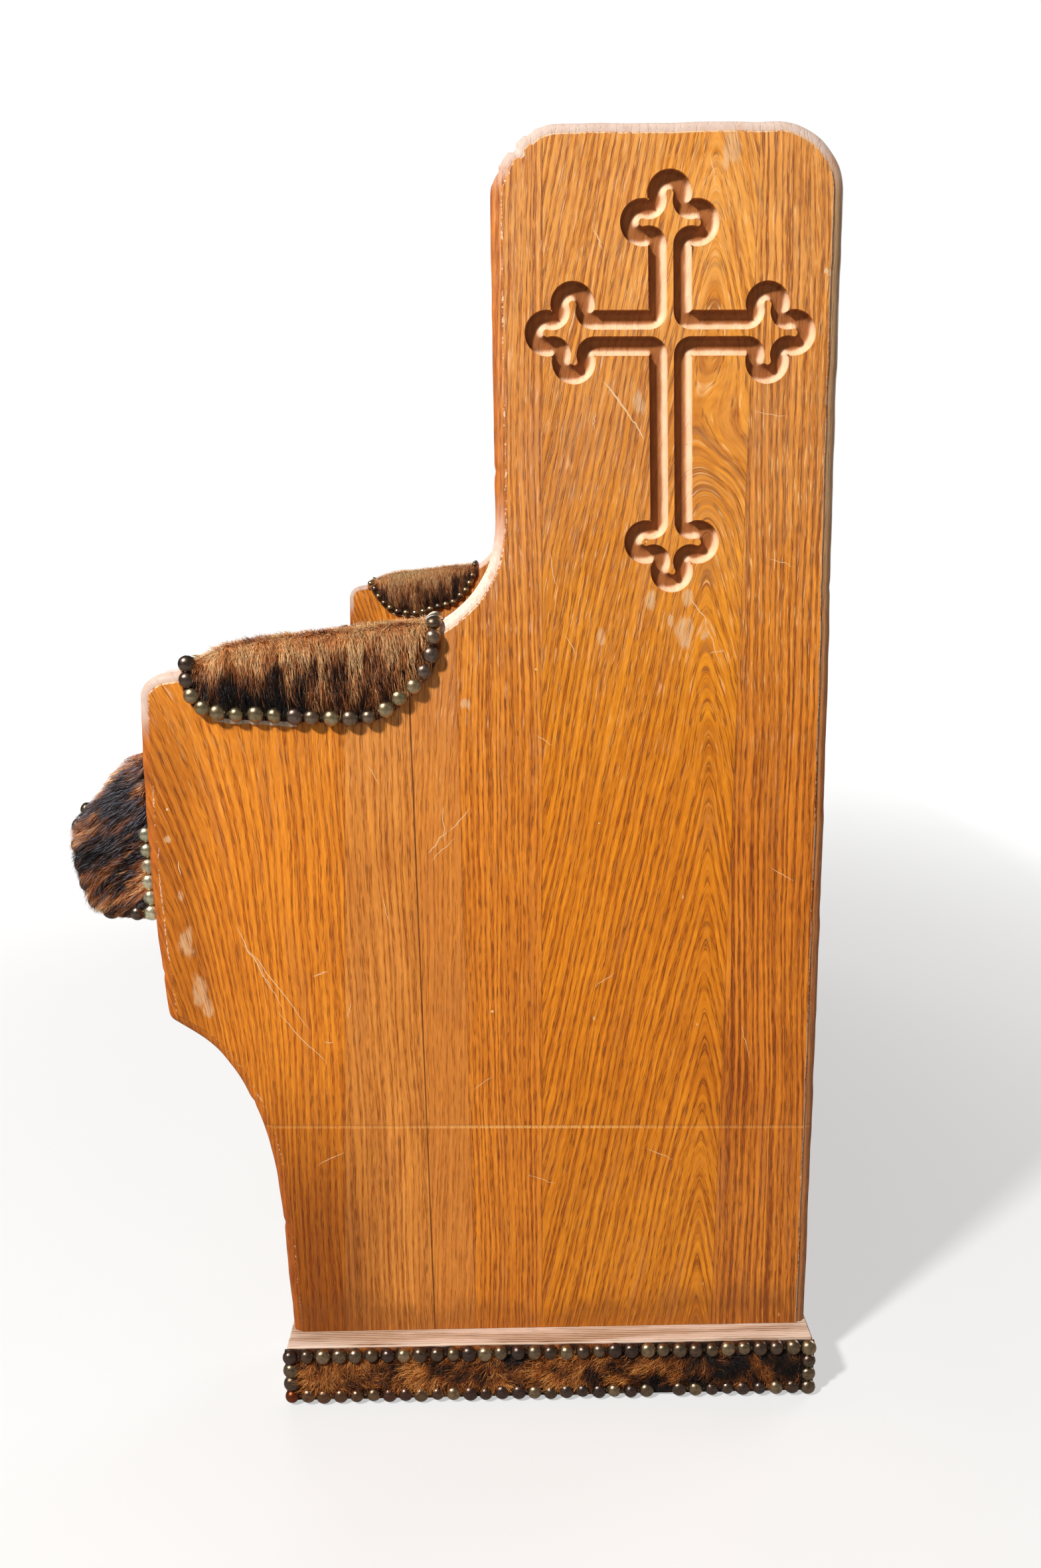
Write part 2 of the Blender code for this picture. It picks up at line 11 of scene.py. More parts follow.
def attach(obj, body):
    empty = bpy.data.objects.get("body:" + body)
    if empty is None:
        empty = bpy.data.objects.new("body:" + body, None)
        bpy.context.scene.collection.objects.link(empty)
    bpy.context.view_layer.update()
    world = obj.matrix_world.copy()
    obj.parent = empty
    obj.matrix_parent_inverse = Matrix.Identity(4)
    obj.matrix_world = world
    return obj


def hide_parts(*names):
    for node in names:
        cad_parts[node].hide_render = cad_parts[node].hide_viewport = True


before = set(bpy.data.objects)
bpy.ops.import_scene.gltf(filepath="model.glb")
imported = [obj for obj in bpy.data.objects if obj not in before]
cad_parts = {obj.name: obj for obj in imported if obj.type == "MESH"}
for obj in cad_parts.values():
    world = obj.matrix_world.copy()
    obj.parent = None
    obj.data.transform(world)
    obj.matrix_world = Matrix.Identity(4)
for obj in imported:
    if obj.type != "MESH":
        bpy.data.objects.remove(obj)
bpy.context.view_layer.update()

SCENE = bpy.context.scene
SCENE.view_settings.view_transform = "Standard"
SCENE.view_settings.look = "None"

# ------------------------------------------------------------------ the bench's own sizes, in metres
X_OUT, X_IN = 0.610, 0.572
HEIGHT = 0.9155
TALL_FRONT, BACK_EDGE = -0.0066, 0.2270
PLINTH_H, PLINTH_OUT = 0.048, 0.0173
GAP, HIDE_T = 0.0003, 0.0026
CROSS_Y, CROSS_Z = 0.1103, 0.7860
SEAT_TOP = 0.440
BACK_LEAN = math.radians(8.4)
BACK_FOOT = (0.1060, 0.4050)
YS = 0.0500  # outlines are drawn from the front edge of the tall part; the row frame is 50 mm on


# ------------------------------------------------------------------ outlines
def fillet(corners, cyclic=True, step=math.radians(4)):
    n = len(corners)
    out = []
    for i, (y, z, r) in enumerate(corners):
        if r <= 0.0 or (not cyclic and i in (0, n - 1)):
            out.append((y, z))
            continue
        py, pz, _ = corners[i - 1]
        ny, nz, _ = corners[(i + 1) % n]
        ay, az, by, bz = py - y, pz - z, ny - y, nz - z
        la, lb = math.hypot(ay, az), math.hypot(by, bz)
        ay, az, by, bz = ay / la, az / la, by / lb, bz / lb
        inner = math.acos(max(-1.0, min(1.0, ay * by + az * bz)))
        t = r / math.tan(inner / 2)
        cy, cz = ay + by, az + bz
        lc = math.hypot(cy, cz)
        d = r / math.sin(inner / 2)
        cy, cz = y + cy / lc * d, z + cz / lc * d
        a0 = math.atan2(z + az * t - cz, y + ay * t - cy)
        a1 = math.atan2(z + bz * t - cz, y + by * t - cy)
        turn = (a1 - a0 + math.pi) % (2 * math.pi) - math.pi
        k = max(2, int(math.ceil(abs(turn) / step)))
        for j in range(k + 1):
            a = a0 + turn * j / k
            out.append((cy + r * math.cos(a), cz + r * math.sin(a)))
    return out


def smooth_through(points, per_span=4):
    p = [points[0]] + list(points) + [points[-1]]
    out = []
    for i in range(1, len(p) - 2):
        for j in range(per_span):
            t = j / per_span
            out.append(tuple(
                0.5 * (2 * p[i][c] + (p[i + 1][c] - p[i - 1][c]) * t
                       + (2 * p[i - 1][c] - 5 * p[i][c] + 4 * p[i + 1][c] - p[i + 2][c]) * t * t
                       + (3 * p[i][c] - p[i - 1][c] - 3 * p[i + 1][c] + p[i + 2][c]) * t ** 3)
                for c in range(len(p[i]))))
    out.append(tuple(points[-1]))
    return out


def arc(cy, cz, r, a0, a1, step):
    k = max(2, int(math.ceil(abs(a1 - a0) / step)))
    return [(cy + r * math.cos(a0 + (a1 - a0) * j / k), cz + r * math.sin(a0 + (a1 - a0) * j / k)) for j in range(k + 1)]


def resample(points, step):
    """Points along a polyline at an even spacing near step, its ends kept."""
    p = np.array(points, float)
    d = np.hypot(*(p[1:] - p[:-1]).T)
    keep = np.concatenate([[True], d > 1e-9])
    p = p[keep]
    s = np.concatenate([[0], np.cumsum(np.hypot(*(p[1:] - p[:-1]).T))])
    n = max(2, int(round(s[-1] / step)))
    t = np.linspace(0, s[-1], n + 1)
    return np.stack([np.interp(t, s, p[:, 0]), np.interp(t, s, p[:, 1])], 1)


def end_outline():
    sweep = smooth_through(
        [(-0.1750, PLINTH_H + GAP), (-0.1775, 0.105), (-0.1797, 0.159), (-0.1850, 0.203),
         (-0.1967, 0.242), (-0.2190, 0.2835), (-0.2542, 0.3105)], 10)
    slope = math.tan(math.radians(8.3))
    arm_end = 0.5662 + (TALL_FRONT + 0.240) * slope
    corner = fillet([sweep[-4] + (0,), (-0.2542, 0.3105, 0.0085), (-0.2585, 0.375, 0)], cyclic=False)
    upper = fillet(
        [(-0.2585, 0.375, 0), (-0.2602, 0.450, 0.3), (-0.2590, 0.510, 0.3), (-0.2572, 0.5637, 0.020),
         (TALL_FRONT, arm_end, 0.075), (TALL_FRONT, HEIGHT, 0.045), (BACK_EDGE, HEIGHT, 0.045),
         (BACK_EDGE, PLINTH_H + GAP, 0)], cyclic=False)
    return sweep[:-4] + corner[:-1] + upper


END = end_outline()
ARM_LINE = sorted((p for p in END if -0.2535 < p[0] < TALL_FRONT - 0.002 and 0.52 < p[1] < 0.66))


def arm_top(y):
    return float(np.interp(y, [p[0] for p in ARM_LINE], [p[1] for p in ARM_LINE]))


FLAP_OUTER = [(-0.2260, 0.5640), (-0.2240, 0.5500), (-0.2160, 0.5400), (-0.2030, 0.5345), (-0.1800, 0.5320),
              (-0.1400, 0.5300), (-0.1100, 0.5292), (-0.0930, 0.5305), (-0.0790, 0.5370), (-0.0640, 0.5500),
              (-0.0520, 0.5650), (-0.0458, 0.5790)]
FLAP_INNER = [(-0.2230, 0.5640), (-0.2190, 0.5540), (-0.2120, 0.5440), (-0.2040, 0.5350), (-0.1930, 0.5260),
              (-0.1790, 0.5192), (-0.1640, 0.5170), (-0.1490, 0.5165), (-0.1350, 0.5185), (-0.1100, 0.5265),
              (-0.0850, 0.5340), (-0.0700, 0.5460), (-0.0570, 0.5620), (-0.0470, 0.5780)]
NOSE = [(-0.2720, 0.3752), (-0.2929, 0.3760), (-0.3070, 0.3805), (-0.3158, 0.3880), (-0.3212, 0.4020),
        (-0.3245, 0.4190), (-0.3253, 0.4370), (-0.3220, 0.4520), (-0.3128, 0.4640), (-0.3004, 0.4767),
        (-0.2879, 0.4895), (-0.2687, 0.5010), (-0.2350, 0.5070), (-0.1800, 0.5090), (-0.0900, 0.5080),
        (0.0200, 0.5020), (0.0820, 0.4930), (0.1020, 0.4800)]


def cross_path(arms=((0.0852, 0.0678), (0.0815, 0.0641), (0.1546, 0.1352), (0.0815, 0.0641))):
    half, lobe, side, w = 0.0082, 0.0085, 0.0177, 0.0056
    step = math.radians(9)
    big = lobe + w
    out = []
    for i, (tip, low) in enumerate(arms):
        c1 = (half + w, low - math.sqrt(big ** 2 - (side - half - w) ** 2))
        to_lobe = math.atan2(low - c1[1], side - c1[0])
        d = math.hypot(side, tip - low)
        h = math.sqrt(big ** 2 - (d / 2) ** 2)
        c2 = (side / 2 + (tip - low) / d * h, (tip + low) / 2 + side / d * h)
        l_c2 = math.atan2(c2[1] - low, c2[0] - side)
        c2_t = math.atan2(tip - c2[1], -c2[0])
        t_c2 = math.atan2(c2[1] - tip, c2[0])
        right = arc(*c1, w, math.pi, to_lobe, step)
        right += arc(side, low, lobe, to_lobe - math.pi, l_c2, step)[1:]
        right += arc(*c2, w, l_c2 + math.pi, c2_t, step)[1:]
        right += arc(0.0, tip, lobe, t_c2, math.pi / 2, step)[1:]
        whole = right + [(-u, v) for u, v in reversed(right[:-1])]
        whole += arc(-half - w, half + w, w, 0.0, -math.pi / 2, step)
        a = i * math.pi / 2
        out += [(u * math.cos(a) - v * math.sin(a), u * math.sin(a) + v * math.cos(a)) for u, v in whole]
    return [(CROSS_Y + u, CROSS_Z + v) for u, v in out]


# ------------------------------------------------------------------ seeded noise for shapes and hair
def _hash(ix, iy, iz, seed):
    h = (ix.astype(np.uint64) * np.uint64(374761393) + iy.astype(np.uint64) * np.uint64(668265263)
         + iz.astype(np.uint64) * np.uint64(2147483647) + np.uint64(seed * 974711 + 12345)) & np.uint64(0xFFFFFFFF)
    h = ((h ^ (h >> np.uint64(13))) * np.uint64(1274126177)) & np.uint64(0xFFFFFFFF)
    h = ((h ^ (h >> np.uint64(16))) * np.uint64(2246822519)) & np.uint64(0xFFFFFFFF)
    return ((h ^ (h >> np.uint64(13))) & np.uint64(0xFFFFFF)).astype(float) / float(0xFFFFFF)


def vnoise(p, seed=0):
    """Smooth value noise, 0 to 1, at points p (n, 3) in cells of one unit."""
    p = np.asarray(p, float) + 1000.0
    i = np.floor(p).astype(np.int64)
    f = p - i
    f = f * f * (3 - 2 * f)
    out = 0.0
    for dx in (0, 1):
        for dy in (0, 1):
            for dz in (0, 1):
                w = ((f[:, 0] if dx else 1 - f[:, 0]) * (f[:, 1] if dy else 1 - f[:, 1]) * (f[:, 2] if dz else 1 - f[:, 2]))
                out = out + w * _hash(i[:, 0] + dx, i[:, 1] + dy, i[:, 2] + dz, seed)
    return out


def fbm(p, seed=0, octaves=3):
    p = np.asarray(p, float)
    total, amp, out = 0.0, 1.0, 0.0
    for k in range(octaves):
        out = out + amp * vnoise(p * 2.0 ** k, seed + 17 * k)
        total += amp
        amp *= 0.5
    return out / total


def sstep(x, a, b):
    t = np.clip((np.asarray(x, float) - a) / (b - a), 0, 1)
    return t * t * (3 - 2 * t)


def lin(r, g, b):
    """A screen colour, 0 to 255, as scene-linear."""
    return tuple(c / 255 / 12.92 if c <= 10.31 else ((c / 255 + 0.055) / 1.055) ** 2.4 for c in (r, g, b))


# ------------------------------------------------------------------ mesh helpers
def put(name, verts, faces, mat, smooth=True, sharp=35.0, slots=None, mats=None):
    me = bpy.data.meshes.new(name)
    me.from_pydata([tuple(v) for v in verts], [], [tuple(f) for f in faces])
    me.validate()
    ob = bpy.data.objects.new(name, me)
    SCENE.collection.objects.link(ob)
    for m in (mats or [mat]):
        me.materials.append(m)
    if slots is not None:
        me.polygons.foreach_set("material_index", np.asarray(slots, np.int32))
    if smooth:
        me.shade_smooth()
        if sharp:
            me.set_sharp_from_angle(angle=math.radians(sharp))
    return ob


def tri_mesh(name, verts, tris, mat):
    """A mesh straight from arrays: many vertices and triangles."""
    me = bpy.data.meshes.new(name)
    me.vertices.add(len(verts))
    me.vertices.foreach_set("co", np.asarray(verts, np.float32).ravel())
    me.loops.add(len(tris) * 3)
    me.loops.foreach_set("vertex_index", np.asarray(tris, np.int32).ravel())
    me.polygons.add(len(tris))
    me.polygons.foreach_set("loop_start", np.arange(0, len(tris) * 3, 3, dtype=np.int32))
    me.update(calc_edges=True)
    ob = bpy.data.objects.new(name, me)
    SCENE.collection.objects.link(ob)
    me.materials.append(mat)
    me.shade_smooth()
    return ob


def colour_points(ob, colours, name="Col"):
    a = ob.data.color_attributes.new(name, "FLOAT_COLOR", "POINT")
    c = np.ones((len(ob.data.vertices), 4), np.float32)
    c[:, :3] = colours
    a.data.foreach_set("color", c.ravel())
    return ob


def float_points(ob, values, name):
    a = ob.data.attributes.new(name, "FLOAT", "POINT")
    a.data.foreach_set("value", np.asarray(values, np.float32))
    return ob


def on_root(ob, slot, *nodes):
    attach(ob, "root")
    if nodes:
        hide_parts(*nodes)
    return ob


# ------------------------------------------------------------------ node networks
class V:
    """A value in a node network; arithmetic on it adds Math nodes."""

    def __init__(self, net, sock):
        self.n, self.s = net, sock

    def __add__(self, o): return self.n.m("ADD", self, o)
    def __radd__(self, o): return self.n.m("ADD", o, self)
    def __sub__(self, o): return self.n.m("SUBTRACT", self, o)
    def __rsub__(self, o): return self.n.m("SUBTRACT", o, self)
    def __mul__(self, o): return self.n.m("MULTIPLY", self, o)
    def __rmul__(self, o): return self.n.m("MULTIPLY", o, self)
    def __truediv__(self, o): return self.n.m("DIVIDE", self, o)
    def __neg__(self): return self.n.m("MULTIPLY", self, -1.0)


class Net:
    def __init__(self, name):
        self.mat = bpy.data.materials.new(name)
        self.mat.use_nodes = True
        self.t = self.mat.node_tree
        self.t.nodes.clear()
        self.out = self.t.nodes.new("ShaderNodeOutputMaterial")
        self.b = self.t.nodes.new("ShaderNodeBsdfPrincipled")
        self.t.links.new(self.b.outputs[0], self.out.inputs[0])
        self._xyz = None

    def give(self, sock, v):
        if isinstance(v, V):
            self.t.links.new(v.s, sock)
        elif v is not None:
            if hasattr(v, "__len__") and len(v) == 3 and sock.type == "RGBA":
                v = (*v, 1.0)
            sock.default_value = v

    def node(self, kind, **props):
        nd = self.t.nodes.new("ShaderNode" + kind)
        for k, v in props.items():
            setattr(nd, k, v)
        return nd

    def m(self, op, a, b=None, c=None, clamp=False):
        nd = self.node("Math", operation=op, use_clamp=clamp)
        for i, v in enumerate((a, b, c)):
            if v is not None:
                self.give(nd.inputs[i], v)
        return V(self, nd.outputs[0])

    def vm(self, op, a, b=None, c=None, out="Vector"):
        nd = self.node("VectorMath", operation=op)
        for i, v in enumerate((a, b, c)):
            if v is not None:
                self.give(nd.inputs[i], v)
        return V(self, nd.outputs[out])

    def xyz(self):
        if self._xyz is None:
            tc = self.node("TexCoord")
            sp = self.node("SeparateXYZ")
            self.t.links.new(tc.outputs["Object"], sp.inputs[0])
            self._xyz = tuple(V(self, o) for o in sp.outputs)
        return self._xyz

    def vec(self, x, y, z):
        nd = self.node("CombineXYZ")
        for i, v in enumerate((x, y, z)):
            self.give(nd.inputs[i], v)
        return V(self, nd.outputs[0])

    def split(self, v):
        nd = self.node("SeparateXYZ")
        self.give(nd.inputs[0], v)
        return tuple(V(self, o) for o in nd.outputs)

    def noise(self, vec, detail=2.0, rough=0.5, scale=1.0, distortion=0.0):
        nd = self.node("TexNoise", noise_dimensions="3D")
        self.give(nd.inputs["Vector"], vec)
        nd.inputs["Scale"].default_value = scale
        nd.inputs["Detail"].default_value = detail
        nd.inputs["Roughness"].default_value = rough
        nd.inputs["Distortion"].default_value = distortion
        return V(self, nd.outputs[0])

    def cells(self, vec, scale=1.0, out="Distance", rand=1.0):
        nd = self.node("TexVoronoi")
        self.give(nd.inputs["Vector"], vec)
        nd.inputs["Scale"].default_value = scale
        nd.inputs["Randomness"].default_value = rand
        return V(self, nd.outputs[out])

    def rng(self, v, a, b, c=0.0, d=1.0, smooth=True):
        nd = self.node("MapRange", interpolation_type="SMOOTHSTEP" if smooth else "LINEAR", clamp=True)
        self.give(nd.inputs["Value"], v)
        for k, x in (("From Min", a), ("From Max", b), ("To Min", c), ("To Max", d)):
            self.give(nd.inputs[k], x)
        return V(self, nd.outputs["Result"])

    def mix(self, f, a, b, blend="MIX"):
        nd = self.node("Mix", data_type="RGBA", blend_type=blend, clamp_factor=True)
        self.give(nd.inputs[0], f)
        self.give(nd.inputs[6], a)
        self.give(nd.inputs[7], b)
        return V(self, nd.outputs[2])

    def ramp(self, f, stops):
        nd = self.node("ValToRGB")
        self.give(nd.inputs[0], f)
        els = nd.color_ramp.elements
        while len(els) < len(stops):
            els.new(0.5)
        for e, (p, c) in zip(els, stops):
            e.position, e.color = p, (*c, 1.0)
        return V(self, nd.outputs[0])

    def attr(self, name, out="Fac"):
        nd = self.node("Attribute", attribute_name=name)
        return V(self, nd.outputs[out])

    def bump(self, height, dist, strength=1.0, normal=None):
        nd = self.node("Bump")
        nd.inputs["Strength"].default_value = strength
        nd.inputs["Distance"].default_value = dist
        self.give(nd.inputs["Height"], height)
        if normal is not None:
            self.give(nd.inputs["Normal"], normal)
        return V(self, nd.outputs[0])

    def set(self, **kw):
        names = {"color": "Base Color", "rough": "Roughness", "metal": "Metallic", "normal": "Normal",
                 "spec": "Specular IOR Level", "coat": "Coat Weight", "coat_rough": "Coat Roughness",
                 "sheen": "Sheen Weight", "sheen_rough": "Sheen Roughness", "sheen_tint": "Sheen Tint"}
        for k, v in kw.items():
            self.give(self.b.inputs[names[k]], v)
        return self.mat


# ------------------------------------------------------------------ oak of the bench ends
# each stave: right-hand boundary (y at z 0.4, lean), (ring centre y, K, taper), (ring pitch, contrast), dark, light
STAVES = [
    (-0.1197, 0.043, (0.180, 0.0, 0.0), (0.0056, 0.58), lin(178, 88, 14), lin(249, 152, 40)),
    (-0.0672, -0.009, (0.300, 0.0, 0.0), (0.0050, 0.56), lin(176, 94, 24), lin(241, 155, 66)),
    (-0.0343, -0.006, (0.240, 0.003, 0.045), (0.0041, 0.34), lin(183, 100, 28), lin(233, 145, 60)),
    (0.0231, 0.009, (0.400, 0.0, 0.0), (0.0038, 0.74), lin(168, 81, 12), lin(242, 146, 42)),
    (0.1586, 0.017, (0.1405, 0.000004, 0.200), (0.0052, 0.62), lin(172, 84, 8), lin(245, 148, 28)),
    (9.0, 0.0, (0.420, 0.0, -0.010), (0.0047, 0.82), lin(144, 66, 14), lin(234, 136, 36)),
]


def oak_staves(name, seed):
    n = Net(name)
    x, y, z = n.xyz()
    yl = y - YS
    far = n.m("GREATER_THAN", 0.0, x)  # the other bench end is cut from other boards
    shift = far * 5.3 + seed * 3.7
    # slow wander of the grain
    wob = n.noise(n.vec(yl * 8.0 + shift, z * 2.4, x * 6.0), 2.0, 0.5) - 0.5
    wob2 = n.noise(n.vec(yl * 42.0 + shift, z * 11.0, x * 30.0 + 4.0), 2.0, 0.55) - 0.5
    lean_a = n.rng(yl, -0.152, -0.262) * (z - 0.43) * 0.30
    yw = yl + lean_a + wob * 0.022 + wob2 * 0.0042
    # parameters step from stave to stave
    zc = z - 0.4
    ring = n.vec(*STAVES[0][2])
    pit = n.vec(STAVES[0][3][0], STAVES[0][3][1], 0.0)
    lo = n.vec(*STAVES[0][4])
    hi = n.vec(*STAVES[0][5])
    seam = None
    stave_id = None
    for k in range(len(STAVES) - 1):
        b, lean = STAVES[k][0], STAVES[k][1]
        d = yl - (zc * lean + b)
        step = n.m("GREATER_THAN", d, 0.0)
        sv = n.vec(step, step, step)
        for tag in (2, 4, 5):
            diff = tuple(STAVES[k + 1][tag][c] - STAVES[k][tag][c] for c in range(3))
            if tag == 2:
                ring = n.vm("MULTIPLY_ADD", sv, diff, ring)
            elif tag == 4:
                lo = n.vm("MULTIPLY_ADD", sv, diff, lo)
            else:
                hi = n.vm("MULTIPLY_ADD", sv, diff, hi)
        pit = n.vm("MULTIPLY_ADD", sv, (STAVES[k + 1][3][0] - STAVES[k][3][0], STAVES[k + 1][3][1] - STAVES[k][3][1], 0.0), pit)
        stave_id = step if stave_id is None else stave_id + step
        width = 0.00050 if k == 1 else 0.00024
        line = n.rng(n.m("ABSOLUTE", d), width * 0.4, width * 1.6, 1.0 if k == 1 else 0.38, 0.0)
        seam = line if seam is None else n.m("MAXIMUM", seam, line)
    yc, kk, ll = n.split(ring)
    pitch, contrast, _ = n.split(pit)
    dy = yw - yc
    # a small swirl beside the cross
    sw = n.vm("LENGTH", n.vec((yl - 0.146) / 0.024, (z - 0.722) / 0.036, 0.0), out="Value")
    swirl = n.m("EXPONENT", -(sw * sw)) * 0.00055
    high_k = n.rng(z, 0.50, 0.66) * 0.00003
    r2 = dy * dy + kk + swirl + high_k
    r = n.m("SQRT", n.m("MAXIMUM", r2, 1e-6)) + ll * zc + (x * 0.25)
    # uneven years
    key_r = r + stave_id * 0.731 + shift
    yr = n.noise(n.vec(key_r * 120.0, z * 1.6, 7.0), 2.0, 0.55) - 0.5
    ph = (r + yr * 0.0100) / pitch + stave_id * 2.37
    # the fine break-up that runs along the grain
    fib = n.noise(n.vec(key_r * 1250.0, z * 55.0, x * 500.0), 2.0, 0.6)
    fib2 = n.noise(n.vec(key_r * 380.0, z * 9.0, x * 200.0 + 3.0), 2.0, 0.5)
    dash = n.noise(n.vec(key_r * 1050.0 + 5.0, z * 150.0, x * 700.0), 1.0, 0.45)
    s = n.m("SINE", (ph + (fib2 - 0.5) * 0.42) * (2 * math.pi)) * 0.5 + 0.5
    strength = n.rng(n.noise(n.vec(key_r * 60.0, z * 4.2, 1.0), 2.0, 0.5), 0.34, 0.62, 0.34, 1.15) * contrast
    strength = strength * n.rng(z, 0.46, 0.60, 1.0, 0.86)
    strength = strength * n.rng(n.m("ABSOLUTE", dy) + kk * 8.0, 0.0008, 0.0075, 0.35, 1.0)
    patchy = n.noise(n.vec(key_r * 210.0 + 9.0, z * 30.0, 4.0), 2.0, 0.6)
    line_v = s + (fib - 0.5) * 1.10 + (patchy - 0.5) * 0.85
    zone = n.rng(line_v, 0.10, 0.84)
    fa = n.noise(n.vec(key_r * 500.0 + 11.0, z * 22.0, x * 260.0 + 2.0), 2.0, 0.55)
    fb = n.noise(n.vec(key_r * 880.0 + 4.0, z * 80.0, x * 600.0), 2.0, 0.6)
    tone = 0.50 + (zone - 0.5) * strength * 0.66 + (fa - 0.5) * 1.15 + (fb - 0.5) * 1.05 + (dash - 0.5) * 0.35
    band = n.m("ADD", tone, 0.0, clamp=True)
    dark = 1.0 - band
    col = n.mix(dark, hi, lo)
    # a warmer and a duller light wood, in long patches
    patch = n.noise(n.vec(key_r * 75.0 + 2.0, z * 7.5, 3.0), 2.0, 0.55)
    col = n.mix(n.rng(patch, 0.54, 0.70) * n.rng(dark, 0.6, 0.2) * 0.35, col, lin(240, 150, 44))
    col = n.mix(n.rng(patch, 0.46, 0.28) * 0.30, col, lin(180, 106, 52))
    # open pores: short dark dashes
    pore = n.noise(n.vec(key_r * 1350.0, z * 84.0, x * 900.0), 1.0, 0.4)
    pore = n.rng(pore, 0.51, 0.64) * n.rng(zone, 0.70, 0.15, 0.08, 1.0)
    col = n.mix(pore * n.rng(contrast, 0.40, 0.70, 0.36, 0.66), col, lin(122, 60, 16))
    # dry pale fibres, most of them high up
    dry = n.noise(n.vec(key_r * 760.0 + 21.0, z * 46.0, x * 500.0), 2.0, 0.6)
    col = n.mix(n.rng(dry, 0.58, 0.70) * n.rng(z, 0.40, 0.66, 0.10, 0.66), col, lin(252, 190, 118))
    soot = n.noise(n.vec(key_r * 620.0 + 31.0, z * 34.0, x * 500.0), 2.0, 0.6)
    col = n.mix(n.rng(soot, 0.55, 0.68) * n.rng(z, 0.46, 0.70, 0.10, 0.50), col, lin(134, 88, 52))
    # age: duller and paler high up, browner low down, blotches of old polish
    blot = n.noise(n.vec(yl * 11.0 + shift, z * 6.0, x * 8.0 + 9.0), 3.0, 0.55)
    fine = n.noise(n.vec(yl * 160.0 + shift, z * 60.0, x * 160.0), 3.0, 0.6)
    high = n.rng(z, 0.53, 0.70) * n.rng(blot, 0.30, 0.58, 0.35, 1.0)
    col = n.mix(high * n.rng(fib2, 0.35, 0.65, 0.50, 0.95) * 0.34, col, n.mix(band, lin(160, 110, 68), lin(218, 152, 86)))
    up_r = n.rng(z, 0.46, 0.66) * n.rng(yl, 0.06, 0.15)
    gain = n.mix(n.rng(z, 0.42, 0.62), (1.0, 1.0, 1.0), (1.00, 1.12, 1.75))
    col = n.vm("MULTIPLY", col, gain)
    col = n.vm("MULTIPLY", col, n.mix(up_r, (1.0, 1.0, 1.0), (1.14, 1.16, 0.92)))
    top_glow = n.rng(z, 0.70, 0.82) * n.rng(dark, 0.7, 0.3)
    col = n.mix(top_glow * 0.30, col, lin(250, 184, 102))
    low = n.rng(z + (blot - 0.5) * 0.16, 0.30, 0.12)
    col = n.vm("MULTIPLY", col, n.mix(low, (1.0, 1.0, 1.0), (0.99, 1.00, 1.06)))
    front_low = n.rng(yl, -0.080, -0.150) * n.rng(z, 0.30, 0.12)
    col = n.mix(front_low, col, lin(182, 166, 156), "MULTIPLY")
    front_edge = n.rng(yl, -0.208, -0.236) * n.rng(z, 0.56, 0.50)
    col = n.vm("MULTIPLY", col, n.mix(n.rng(z, 0.26, 0.14) * n.rng(yl, 0.0, 0.05), (1.0, 1.0, 1.0), (1.01, 1.06, 1.35)))
    foot = n.rng(z + (fine - 0.5) * 0.030 + (blot - 0.5) * 0.06, 0.084, 0.060)
    col = n.mix(foot * n.rng(fib, 0.25, 0.60, 0.10, 0.60), col, lin(126, 70, 28))
    col = n.mix(front_edge, col, lin(224, 218, 214), "MULTIPLY")
    col = n.mix(n.rng(blot, 0.54, 0.72) * 0.50, col, lin(226, 214, 204), "MULTIPLY")
    col = n.mix(seam * 0.82, col, lin(84, 38, 14))
    # the line scribed across when the seat was set out
    along = n.noise(n.vec(yl * 620.0, 3.0, 1.0), 2.0, 0.7)
    sc_d = z - (0.2195 - (yl - 0.026) * 0.0185) + (along - 0.5) * 0.0014
    keen = n.rng(n.m("ABSOLUTE", yl - 0.020), 0.120, 0.030, 0.35, 1.0)
    scribe = n.rng(n.m("ABSOLUTE", sc_d), 0.0005, 0.0017, 1.0, 0.0) * n.rng(x, 0.6, 0.609)
    col = n.mix(scribe * n.rng(along, 0.36, 0.50) * keen * 0.76, col, lin(240, 176, 100))
    col = n.mix(scribe * n.rng(along, 0.42, 0.34) * keen * 0.70, col, lin(96, 48, 22))
    # wear where the surface turns over an edge, with painted light in the pale of the top and the hollow, and a painted
    # shadow along the shoulder step
    edge = n.attr("edge")
    shoulder = n.attr("shoulder")
    coarse = n.noise(n.vec(yl * 24.0 + shift, z * 24.0, x * 24.0), 3.0, 0.6)
    grit = n.noise(n.vec(yl * 420.0, z * 420.0, x * 420.0), 2.0, 0.6)
    pale = n.mix(fine, lin(188, 158, 142), lin(228, 206, 192))
    amber = n.mix(n.rng(fine, 0.3, 0.7), lin(146, 70, 22), lin(190, 100, 34))
    col = n.mix(edge * 0.75, col, amber)
    rear = n.rng(yl, 0.180, 0.208)
    front_tall = n.rng(yl, 0.055, 0.020)
